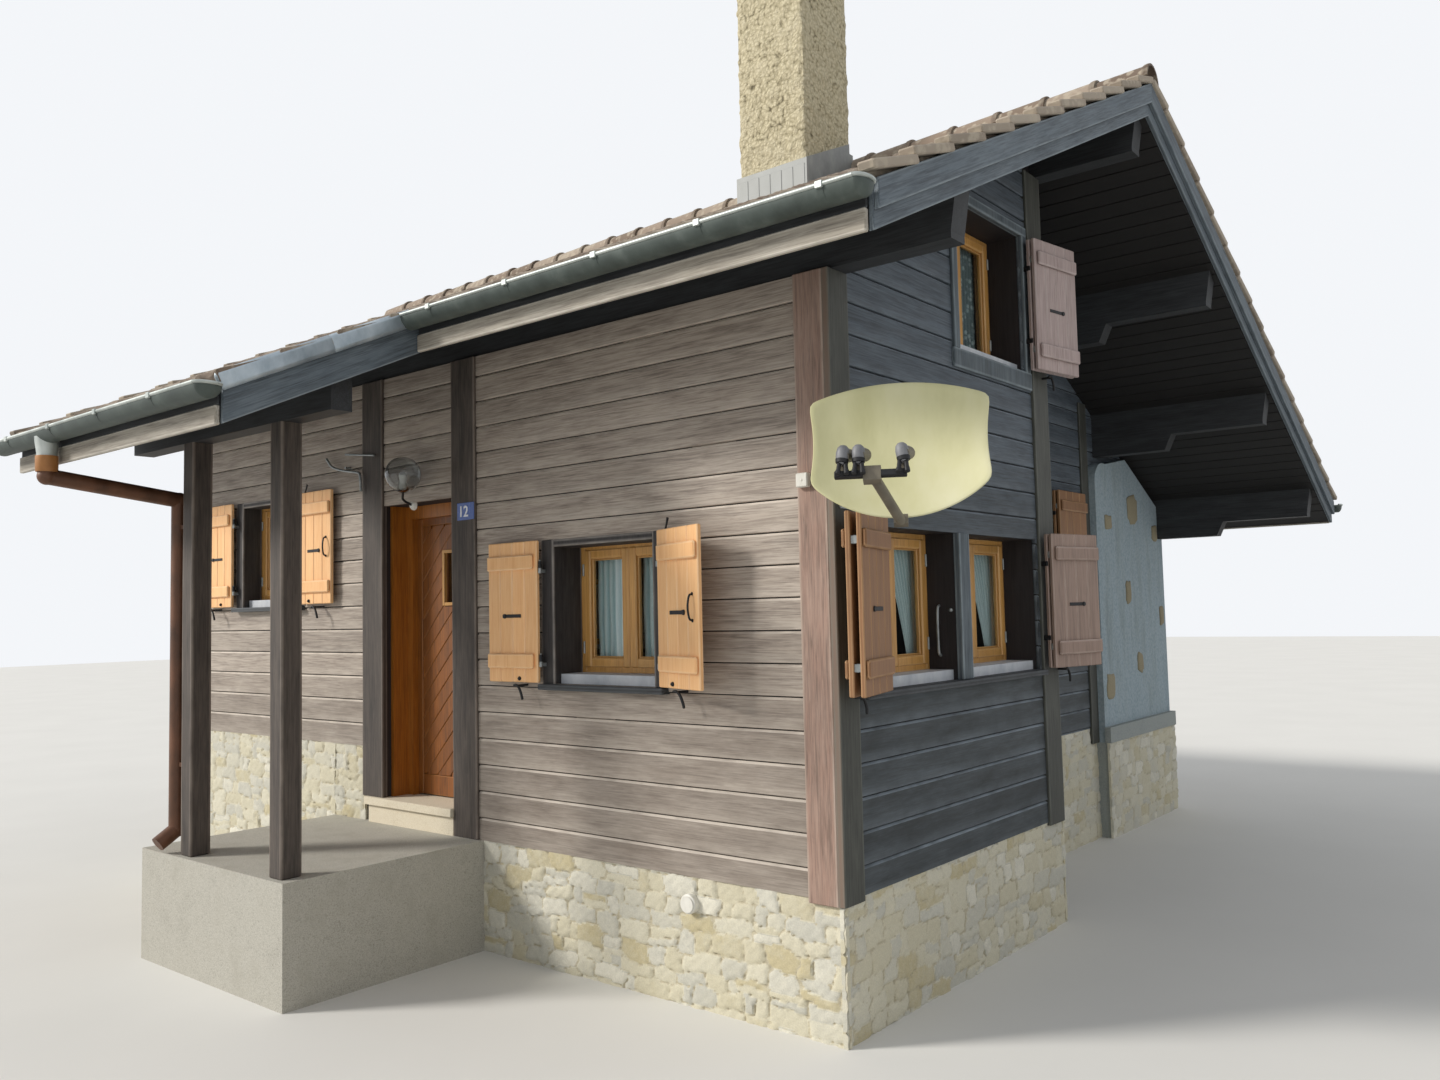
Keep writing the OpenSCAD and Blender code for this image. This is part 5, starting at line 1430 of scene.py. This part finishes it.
rod = smooth_path([(-4192, -60, 3125), (-4130, -60, 3060), (-4005, -60, 3025), (-3850, -60, 3000),
                   (-3782, -60, 2987), (-3772, -60, 2930), (-3768, -60, 2860)], 6)
bracket = [tube(rod, 9, 10), tube([(-3962, -55, 3133), (-3790, -55, 3112), (-3619, -55, 3092)], 7, 10)]
bracket += [tube([(-3962, 0, z), (-3962, reach, z)], 8, 10) for z, reach in ((3040, -58), (3133, -56))]
piece("bent_rod", bracket, galvanised, 40)
bar = smooth_path([(-99, 1201, 1722), (-99, 1178, 1730), (-99, 1174, 1860), (-99, 1178, 1988),
                   (-99, 1201, 1996)], 6)
knob = turned([(3, -1), (9, 0), (11, 12), (6, 20), (3, 21)], (-24, 1200, 1971), OUT_FRONT, 14)
piece("reveal_bar", [tube(bar, 8, 10), knob], galvanised, 40)

vent = [turned([(4, 34), (40, 33), (49, 27), (50, 20), (50, -4), (4, -5)], (-900, -26, 520), OUT_FRONT, 40),
        turned([(2, 35), (41, 35), (41, 33), (2, 32)], (-900, -28, 520), OUT_FRONT, 40)]
piece("vent_cap", vent, white_plastic, 40)
box_parts = [strip([-156, -70, 2568], [-89, -36, 2636], "z", 5, 2),
             turned([(2, 3), (6, 2), (6, -1), (2, -2)], (-122, -70, 2602), OUT_FRONT, 12)]
piece("corner_post_box", box_parts, white_plastic, 35)

# %% [markdown]
# ## The front door
#
# The leaf is a flush panel faced with diagonal boards inside a plain border, with a tall narrow
# light at the lock side. Each board is cut to the border by clipping its two long edges to the
# panel, so its ends are straight up and down.

# %% Door boards
LEAF_L, LEAF_R, LEAF_FOOT, LEAF_TOP, LEAF_Y = -3510.0, -2780.0, 824.0, 2680.0, 210.0
SLOT_L, SLOT_R, SLOT_Z, SLOT_TOP = -3190.0, -3078.0, 2091.0, 2416.0
BORDER, DIAGONAL = 70.0, 92.0


def diagonal_boards(x0, x1, z0, z1, left):
    """Boards rising to the right at 45 degrees in one field of the panel. In each narrow column a
    board is a band of its width times sqrt(2), counted from the panel's left edge and clipped to
    the field."""
    found = []
    tall = DIAGONAL * math.sqrt(2)
    rng = np.random.default_rng(int(x0 + z0) % 97)
    for start in np.arange(LEAF_FOOT - 800, z1, tall):
        x = np.linspace(x0, x1, max(3, int((x1 - x0) / 20)))
        low = np.clip(start + (x - left) + 1.2, z0, z1)
        high = np.clip(start + (x - left) + tall - 1.2, z0, z1)
        keep = high - low > 4
        if keep.sum() < 2:
            continue
        x, low, high = x[keep], low[keep], high[keep]
        share = np.array([0.0, 0.06, 0.94, 1.0])[:, None]
        z = low + share * (high - low)
        depth = LEAF_Y - np.array([5.0, 9.0, 9.0, 5.0])[:, None] * np.ones_like(z)
        X = np.broadcast_to(x, z.shape)
        top = np.stack([X, depth, z], -1)
        under = np.stack([X, np.full_like(z, LEAF_Y + 1), z], -1)
        found.append(slab(top, under, board=rng.uniform(0.05, 1), edge=np.array([1.0, 0, 0, 1.0])[:, None]))
    return found


in_l, in_r, in_foot, in_top = LEAF_L + BORDER, LEAF_R - BORDER, LEAF_FOOT + BORDER + 60, LEAF_TOP - BORDER
fields = [(in_l, SLOT_L - 20, in_foot, in_top), (SLOT_R + 20, in_r, in_foot, in_top),
          (SLOT_L - 20, SLOT_R + 20, in_foot, SLOT_Z - 20), (SLOT_L - 20, SLOT_R + 20, SLOT_TOP + 20, in_top)]
panel = [board for field in fields for board in diagonal_boards(*field, in_l)]


def door_rails(rows):
    """Plain timbers of the leaf, each by its ends, heights, depths, grain and seed."""
    return [beam([x0, y0, z0], [x1, y1, z1], grain, arris=3, seed=seed, drift=0)
            for x0, x1, z0, z1, y0, y1, grain, seed in rows]


rails = door_rails([(LEAF_L, in_l, LEAF_FOOT, LEAF_TOP, 196, 211, "z", 96),
                    (in_r, LEAF_R, LEAF_FOOT, LEAF_TOP, 196, 211, "z", 97),
                    (in_l, in_r, in_top, LEAF_TOP, 197, 211, "x", 98),
                    (in_l, in_r, LEAF_FOOT, in_foot, 197, 211, "x", 99),
                    (LEAF_L, SLOT_L, LEAF_FOOT, LEAF_TOP, 210, 255, "z", 105),
                    (SLOT_R, LEAF_R, LEAF_FOOT, LEAF_TOP, 210, 255, "z", 106),
                    (SLOT_L, SLOT_R, LEAF_FOOT, SLOT_Z, 210, 255, "z", 107),
                    (SLOT_L, SLOT_R, SLOT_TOP, LEAF_TOP, 210, 255, "z", 108)])
bead = door_rails([(SLOT_L - 22, SLOT_L, SLOT_Z - 22, SLOT_TOP + 22, 188, 212, "z", 101),
                   (SLOT_R, SLOT_R + 22, SLOT_Z - 22, SLOT_TOP + 22, 188, 212, "z", 102),
                   (SLOT_L, SLOT_R, SLOT_Z - 22, SLOT_Z, 188, 212, "x", 103),
                   (SLOT_L, SLOT_R, SLOT_TOP, SLOT_TOP + 22, 188, 212, "x", 104)])
slot_pane = strip([SLOT_L - 1, 222, SLOT_Z - 1], [SLOT_R + 1, 228, SLOT_TOP + 1], "z", 0.8)
lever = smooth_path([(-2815, 192, 1870), (-2815, 150, 1870), (-2822, 140, 1870), (-2900, 140, 1872),
                     (-2925, 144, 1872)], 6)
lock = [strip([-2836, 188, 1740], [-2794, 197, 1930], "z", 3, 2), tube(lever, 9, 12),
        turned([(3, 8), (12, 7), (14, 0), (3, -2)], (-2815, 192, 1790), OUT_FRONT, 16)]
piece("door_boards", panel + rails, door_wood, replaces="door_leaf", rides="front_door")
piece("door_slot_bead", bead, window_wood, rides="front_door")
piece("door_pane", [slot_pane], window_glass, replaces="door_glass", rides="front_door")
piece("door_lever", lock, galvanised, 40, rides="front_door")

# %% [markdown]
# ## Curtains
#
# Cloth is cut wider than the window and gathered on a rod, so it hangs in upright folds. Across
# the sheet the depth is a wave, a little uneven; its length along the wave is the cut's width.
# At the gable the lower part is tied aside, so the hem draws towards the middle.

# %% Curtain sheets
flats = []


def curtain(name, window, leaf_no, finish, fullness, tie, reach):
    """A sheet behind one pane. Depth is amp * sin over the folds plus a small second wave; the
    sheet narrows by tie towards its hem on one side, and runs past the pane by reach."""
    wall = WINDOWS[window][0]
    left, right, foot, head, glass = pane_places[window][leaf_no]
    left, right, foot, head = left - 14, right + 14 + reach, foot - 20, head + 25
    folds = max(4, int(round((right - left) / 44)))
    t = np.linspace(0, 1, folds * 8 + 1)[None, :]
    v = np.linspace(0, 1, 30)[:, None]
    edge = tie * (1 - v) ** 0.7
    along = left + (right - left) * (edge + (1 - edge) * t) + 2.0 * np.sin(9 * v + 14 * t)
    period = (right - left) * (1 - edge * 0.5) / folds
    amp = period / (2 * np.pi) * 2 * math.sqrt(fullness - 1)
    wave = np.sin(2 * np.pi * folds * t + 0.5 * np.sin(3 * v)) + 0.25 * np.sin(4.4 * np.pi * folds * t + 1.7)
    depth = glass - 78 + np.clip(amp * (0.75 + 0.25 * (1 - v)), 3, 13) * wave * 0.8
    height = foot + (head - foot) * v + 2.5 * np.sin(2 * np.pi * folds * t) * (1 - v)
    face = on_wall(wall, along, depth, height)
    back = on_wall(wall, along, depth - 1.0, height)
    # The mark fold is painted shade, darkest in the hollows of the folds
    obj = piece(name, [slab(face, back, fold=np.clip(0.5 - 0.5 * wave, 0, 1))], finish, 60)
    length = (head - foot) / 1000
    width = float(np.linalg.norm(np.diff(face[-1], axis=0), axis=1).sum()) / 1000
    flats.append((name, round(width, 3), round(length, 3)))


# How far the bay's sheets are tied aside, and how far they reach past their pane
TIED = {"bay_left_1": (0.35, 0), "bay_left_2": (0.64, 90), "bay_right_1": (0.35, 0),
        "bay_right_2": (0.62, 90)}
for window, (*_, leaves) in WINDOWS.items():
    for n in range(leaves):
        label = f"{window}_{n + 1}" if leaves == 2 else window
        cut = (lace_cloth, 1.2) if window == "attic" else (sheer_cloth, 1.4)
        curtain("curtain_" + label, window, n, *cut, *TIED.get(label, (0.0, 0.0)))
print("sheets:", flats)

# %% [markdown]
# ## The dish
#
# The bowl is part of a sphere, cut by an outline that is broader than it is high, with soft
# corners. The outline is found along rays from the middle: the nearest of the side, the upper
# arc and the lower arc, blended so that the corners round off. The rim is rolled back.

# %% Dish
DISH_AT = np.array([441.0, -120.0, 2651.0])
DISH_TURN, DISH_LEAN = math.radians(28), math.radians(90 - 18)
BOWL_R, OUTLINE_POWER = 1150.0, 26.0


def from_dish(p):
    """A point drawn in the bowl's own directions, as near-corner millimetres."""
    p = np.asarray(p, float)
    y = p[..., 1] * math.cos(DISH_LEAN) - p[..., 2] * math.sin(DISH_LEAN)
    z = p[..., 1] * math.sin(DISH_LEAN) + p[..., 2] * math.cos(DISH_LEAN)
    x = p[..., 0] * math.cos(DISH_TURN) - y * math.sin(DISH_TURN)
    return DISH_AT + np.stack([x, p[..., 0] * math.sin(DISH_TURN) + y * math.cos(DISH_TURN), z], -1)


def dish_outline(angle):
    """Distance to the rim along each ray: (side^-p + top^-p + foot^-p)^(-1/p). The sides bow in: a
    side is where x = 368.5 + (y - 30)^2 / 1800, so its ray length solves a quadratic."""
    c, s = np.abs(np.cos(angle)), np.sin(angle)
    under = (c + s / 30) ** 2 - 4 * s ** 2 / 1800 * 368.5
    side = np.where(under > 0, 2 * 368.5 / (c + s / 30 + np.sqrt(np.maximum(under, 0))), 1e4)
    found = side ** -OUTLINE_POWER
    for centre, radius in ((-452.2, 784.2), (248.1, 548.1)):
        reach = centre * np.sin(angle) + np.sqrt(radius ** 2 - (centre * np.cos(angle)) ** 2)
        found = found + reach ** -OUTLINE_POWER
    return found ** (-1 / OUTLINE_POWER)


angles = np.linspace(0, 2 * np.pi, 120, endpoint=False)
rim = dish_outline(angles)
inward = np.linspace(0.02, 1, 16) ** 0.8
rows = [(rim * share, BOWL_R - np.sqrt(BOWL_R ** 2 - (rim * share) ** 2)) for share in inward]
edge_w = rows[-1][1]
rows += [(rim + grow, edge_w + back) for grow, back in ((3.5, -0.5), (6, -4), (6, -9), (3, -12), (-2, -12))]
for share in inward[::-1]:
    r = (rim - 4) * share
    rows.append((r, BOWL_R - np.sqrt((BOWL_R + 4) ** 2 - r ** 2)))
rings = np.stack([np.stack([r * np.cos(angles), r * np.sin(angles), w], -1) for r, w in rows])
piece("dish_bowl", [loft(from_dish(rings))], dish_paint, 40, "dish")

# %% Receivers
FEED_OUT, FEED_LOW = 450.0, -288.0
AIM = np.array([0.225, 0.455, -0.861])


def feed_end(u, lean):
    """One receiver: a pear-shaped housing that stands up from the bar, a horn that looks at the
    bowl, and two dark sockets below."""
    back = np.array([u, -218.0, FEED_OUT + 22])
    stand = np.array([lean, 1.0, 0.12])
    pear = [(3, 46), (14, 44), (23, 34), (27, 14), (26, -8), (21, -24), (15, -32), (3, -34)]
    trumpet = [(3, 10), (17, 12), (17, 50), (24, 54), (25, 68), (20, 72), (3, 73)]
    body, horn = turned(pear, back, stand, 28), turned(trumpet, back + (0, 6, 0), AIM, 24)
    sockets = [turned([(3, 0), (9, 1), (9, 36), (11, 37), (11, 54), (3, 56)], back + (du, -28, 2),
                      (0.1 * du / 12, -1, 0.2), 12) for du in (-12, 12)]
    band = turned([(23, -28), (25, -27), (27, -12), (24, -11)], back, stand, 24)
    return [body, horn], sockets + [band]


housings, dark_parts = [], []
for u, lean in ((-208.0, 0.1), (-145.0, 0.0), (27.0, -0.15)):
    shells, extra = feed_end(u, lean)
    housings += shells
    dark_parts += extra
dark_parts.append(beam([-242, FEED_LOW - 14, FEED_OUT - 14], [42, FEED_LOW + 14, FEED_OUT + 14], "x",
                       arris=3, drift=0))
for b in housings + dark_parts:
    b["points"] = from_dish(b["points"])
piece("receiver_housings", housings, receiver_grey, 40)
piece("receiver_bar", dark_parts, black_iron, 40)

# %% [markdown]
# ## Gutters, chimney and lamp
#
# A gutter has a rolled bead along its outer lip and a strap every 600 mm. The chimney's render
# is thick enough to round its corners. The lamp is a smoked glass globe over a white fitting.

# %% Gutter beads and straps
straps, beads, caps = [], [], []


def gutter_trim(x0, x1, y, outward):
    """A bead along the outer lip that turns round both ends, a cap at each end that bulges 34 mm
    like a quarter of an egg, and straps as thin half rings round the trough."""
    centre, rim_z = y + outward * 90, deck_top(y) - 35
    lip, bead_z = centre + outward * 63, rim_z + 4
    turn = np.radians(np.linspace(0, 150, 9))
    for x, way in ((x0, -1), (x1, 1)):
        angle = np.radians(np.linspace(180, 360, 15))[None, :]
        bulge = np.radians(np.linspace(0, 86, 7))[:, None]

        def shell(r):
            return np.stack([x + way * (34 * np.sin(bulge) - (65 - r)) + 0 * angle,
                             centre + r * np.cos(bulge) * np.cos(angle),
                             rim_z + r * np.cos(bulge) * np.sin(angle)], -1)

        caps.append(slab(shell(65.5), shell(62.5)))
        round_end = [x + way * 36 * np.sin(turn), centre + outward * 64 * np.cos(turn), np.full(9, bead_z)]
        beads.append(tube(np.stack(round_end, -1), 8.5, 8))
    beads.append(tube([(x0, lip, bead_z), ((x0 + x1) / 2, lip, bead_z), (x1, lip, bead_z)], 9.5, 10))
    angle = np.radians(np.linspace(180, 360, 17))
    for x in np.arange(x0 + 230, x1 - 100, 600):
        X = np.array([x, x + 28.0])[:, None] * np.ones(17)

        def arc(r):
            return np.stack([X, centre - outward * r * np.cos(angle) * np.ones((2, 1)),
                             bead_z + r * np.sin(angle) * np.ones((2, 1))], -1)

        straps.append(slab(arc(68.5), arc(65.2)))
        over = lip + outward * 13
        beads.append(strip([x - 2, min(lip, over), rim_z - 12], [x + 30, max(lip, over), rim_z + 16], "z", 2))


gutter_trim(PORCH_RIGHT + COVER, VERGE + COVER / 2, -EAVE, -1)
gutter_trim(FAR_VERGE - COVER, PORCH_LEFT - COVER, -EAVE, -1)
gutter_trim(PORCH_LEFT - COVER, PORCH_RIGHT + COVER, -PORCH_OUT, -1)
gutter_trim(FAR_VERGE - COVER, VERGE + COVER, BACK_EDGE, 1)
piece("gutter_straps_and_caps", straps + caps, zinc, 40)
piece("gutter_beads", beads, bright_zinc, 40)
outlet = (-3860, -PORCH_OUT - 90, deck_top(-PORCH_OUT) - 100)
funnel = turned([(3, 40), (62, 38), (60, 10), (51, -50), (51, -72), (3, -74)], outlet, UP, 32)
collar = turned([(3, -66), (56, -68), (57, -74), (56, -150), (53, -156), (3, -158)], outlet, UP, 32)
piece("gutter_outlet", [funnel], bright_zinc, 40)
piece("outlet_collar", [collar], collar_orange, 40)

# %% Chimney render and sheet
STACK_LOW, STACK_HIGH = np.array([-1918.0, 1842.0, 4860.0]), np.array([-1342.0, 2418.0, 6600.0])


def rough_shaft(low, high, step, swell, seed):
    """A shaft with rounded corners: rings of a rounded square up the height, moved out by smoothed
    random noise of the swell's size."""
    rng = np.random.default_rng(seed)
    half = (high[:2] - low[:2]) / 2
    middle = (high[:2] + low[:2]) / 2
    count = 4 * int(2 * half[0] / step)
    t = np.arange(count) / count * 4
    side, share = t.astype(int) % 4, (t % 1) * 2 - 1
    one = np.ones(count)
    across, up = np.choose(side, [share, one, -share, -one]), np.choose(side, [-one, share, one, -share])
    square = np.stack([across, up], -1)
    power = 26.0
    square /= ((np.abs(square) ** power).sum(-1, keepdims=True)) ** (1 / power)
    z = np.linspace(low[2], high[2], int((high[2] - low[2]) / step) + 1)
    noise = rng.normal(0, 1, (len(z), count))
    for axis in (0, 1):
        noise = (np.roll(noise, 1, axis) + 2 * noise + np.roll(noise, -1, axis)) / 4
    out = 1 + (swell * noise / noise.std()) / half[0]
    flat = middle + half * square[None] * out[..., None]
    return loft(np.concatenate([flat, np.broadcast_to(z[:, None, None], (len(z), count, 1))], -1))


shaft = rough_shaft(STACK_LOW, STACK_HIGH, 20, 3.6, 111)
piece("chimney_roughcast", [shaft], beige_roughcast, 60)
sheet_parts = []
for k, x in enumerate(np.arange(-1925, -1340, 98)):
    foot = deck_top(1830) + 48
    sheet_parts.append(strip([x, 1822, foot - 40], [x + 92, 1832, foot + 150 + 3 * (k % 2)], "z", 2))
for y in np.arange(1830, 2430, 120):
    foot = deck_top(y + 60) + 48
    for x in (-1336, -1932):
        sheet_parts.append(strip([x - 4, y, foot - 60], [x + 6, y + 124, foot + 130], "z", 2))
piece("chimney_sheet", sheet_parts, flashing)

# %% Lamp and number plate
LAMP, LAMP_FOOT = np.array([-3103.0, -190.0, 2901.0]), (-3250, 0, 2727)
down = np.array([-0.5, 0.35, -0.79])
down /= np.linalg.norm(down)
bend = np.radians(np.linspace(178, 18, 24))
shells = [(r * math.sin(a), r * math.cos(a)) for r, way in ((110.0, 1), (113.0, -1)) for a in bend[::way]]
piece("lamp_globe", [turned(shells, LAMP, down, 40)], lamp_glass, 60, "porch_lamp")
fitting = [turned([(3, 0), (20, 3), (25, 20), (20, 52), (22, 84), (27, 92), (27, 112), (3, 114)],
                  LAMP - 10 * down, down, 28),
           turned([(3, 26), (20, 24), (30, 12), (32, -1), (3, -2)], LAMP_FOOT, OUT_FRONT, 28)]
piece("lamp_fitting", fitting, white_plastic, 40)
arm = smooth_path([LAMP + 100 * down, LAMP + 136 * down, (-3250, -92, 2756), (-3250, -14, 2727)], 6)
holder = turned([(24, 0), (34, 1), (36, 14), (24, 16)], LAMP + 100 * down, down, 28)
piece("lamp_arm", [tube(arm, 8, 12), holder], black_iron, 40)


def digit_bodies(text, left, foot, tall, face):
    """Plain upright numbers from the built-in letter shapes, turned to a mesh and stood on the
    entrance wall."""
    curve = bpy.data.curves.new("numbers", "FONT")
    curve.body, curve.size, curve.extrude, curve.offset = text, 1.0, 0.02, 0.012
    holder = bpy.data.objects.new("numbers", curve)
    bpy.context.scene.collection.objects.link(holder)
    bpy.context.view_layer.update()
    mesh = bpy.data.meshes.new_from_object(holder)
    co = np.zeros(len(mesh.vertices) * 3)
    mesh.vertices.foreach_get("co", co)
    co = co.reshape(-1, 3)
    co = (co - co.min(0)) / np.ptp(co, axis=0)[1] * tall
    points = np.stack([left + co[:, 0], face - co[:, 2] * 0.6, foot + co[:, 1]], -1)
    faces = {}
    for p in mesh.polygons:
        faces.setdefault(len(p.vertices), []).append(list(p.vertices))
    bpy.data.objects.remove(holder)
    bpy.data.meshes.remove(mesh)
    return body_of(points, [np.array(f) for f in faces.values()])


enamel = strip([-2748, -44, 2590], [-2585, -38, 2698], "x", 2, 2)
piece("plate_enamel", [enamel], plate_blue, replaces="number_plate")
piece("plate_numbers", [digit_bodies("12", -2713, 2610, 68, -44.0)], digit_white)

# %% [markdown]
# ## Ochre stones in the masonry breast
#
# A few ochre stones stand out of the grey render. Each is a low dome on an uneven outline.

# %% Ochre stones


def dome(y, z, wide, tall, seed):
    """A low dome: rings shrink from an outline of uneven radius while they rise."""
    rng = np.random.default_rng(seed)
    angle = np.arange(14) * 2 * np.pi / 14
    outline = 1 + rng.uniform(-0.14, 0.14, 14)
    across, up = [np.sign(v) * np.abs(v) ** 0.55 for v in (np.cos(angle), np.sin(angle))]
    rows = []
    for share, out in ((1.0, -4), (1.0, 5), (0.93, 10), (0.7, 13), (0.35, 15), (0.05, 15)):
        rows.append(np.stack([np.full(14, -BAY_OUT + 90 + out), y + wide / 2 * share * outline * across,
                              z + tall / 2 * share * outline * up], -1))
    return loft(np.stack(rows), stone=rng.uniform(0.2, 0.9), joint=0.0)


OCHRES = [(6030, 2845, 250, 265), (5400, 2700, 170, 130), (6625, 2650, 150, 160), (5836, 2085, 120, 205),
          (6725, 1860, 110, 195), (6070, 1435, 140, 180), (5300, 1265, 180, 230)]
ochres = [dome(*row, n + 1) for n, row in enumerate(OCHRES)]
piece("ochre_stones", ochres, ochre_stone, 50)

# %% [markdown]
# ## Floor, light and camera
#
# A pale floor and backdrop keep attention on the house. One broad sun from the entrance side
# models the boards, and a pale sky fills the shade. The camera stands where the photograph was
# taken.

# %% Floor
FLOOR_HALF = 60
floor_mesh = bpy.data.meshes.new("studio_floor")
floor_corners = [(sx * FLOOR_HALF, sy * FLOOR_HALF, 0) for sx, sy in ((-1, -1), (1, -1), (1, 1), (-1, 1))]
floor_mesh.from_pydata(floor_corners, [], [(0, 1, 2, 3)])
floor = bpy.data.objects.new("studio_floor", floor_mesh)
bpy.context.scene.collection.objects.link(floor)
# Pale paper with a soft grey cloud in it
paper, tree, shader, place = new_finish("studio_floor")
clouded = blend(tree, noise(tree, place, 0.8, 3.0), "#e2e1dd", "#d9d8d4")
fill(shader, {"Base Color": clouded, "Roughness": 0.9})
floor_mesh.materials.append(paper)

# %% Light
SKY_FILL, SKY_SEEN = 0.6, 0.95
SUN_POWER, SUN_WIDTH = 2.95, math.radians(12)
scene = bpy.context.scene
scene.view_settings.view_transform = "Standard"
world = bpy.data.worlds.new("studio_sky")
scene.world = world
world.use_nodes = True
sky = world.node_tree
sky.nodes.clear()
rays = add(sky, "ShaderNodeLightPath").outputs
seen = calc(sky, "MAXIMUM", rays["Is Camera Ray"], rays["Is Glossy Ray"])
seen = calc(sky, "MAXIMUM", seen, rays["Is Transmission Ray"])
strength = remap(sky, seen, 0.0, 1.0, SKY_FILL, SKY_SEEN)
backdrop = add(sky, "ShaderNodeBackground", None, {"Color": (0.95, 0.97, 1.0, 1.0), "Strength": strength})
add(sky, "ShaderNodeOutputWorld", None, {"Surface": backdrop.outputs["Background"]})

sun_data = bpy.data.lights.new("broad_sun", "SUN")
sun_data.energy, sun_data.angle, sun_data.color = SUN_POWER, SUN_WIDTH, (1.0, 0.96, 0.9)
sun = bpy.data.objects.new("broad_sun", sun_data)
scene.collection.objects.link(sun)
sun.rotation_mode = "QUATERNION"
sun.rotation_quaternion = Vector((0.62, 0.62, -0.50)).normalized().to_track_quat("-Z", "Y")

# %% Camera
EYE = (3.0252, -4.5194, 1.9924)
FILM_W, FOCAL_PX, PHOTO_PX = 36.0, 1114.2, 1440
yaw, pitch, roll = [math.radians(v) for v in (39.1345, 3.6578, -1.2811)]
forward = np.array([-math.sin(yaw) * math.cos(pitch), math.cos(yaw) * math.cos(pitch), math.sin(pitch)])
level = np.array([math.cos(yaw), math.sin(yaw), 0.0])
upright = np.cross(level, forward)
right = math.cos(roll) * level + math.sin(roll) * upright
top = -math.sin(roll) * level + math.cos(roll) * upright
lens = bpy.data.cameras.new("photo_place")
lens.sensor_width, lens.lens, lens.clip_end = FILM_W, FILM_W * FOCAL_PX / PHOTO_PX, 200
eye = bpy.data.objects.new("photo_place", lens)
scene.collection.objects.link(eye)
axes = np.stack([right, top, -forward], 1)
eye.matrix_world = Matrix([[*row, at] for row, at in zip(axes, EYE)] + [[0, 0, 0, 1]])
scene.camera = eye

# %% Size and finish
print("pieces:", len(made), "triangles:", sum(t for _, t in made))
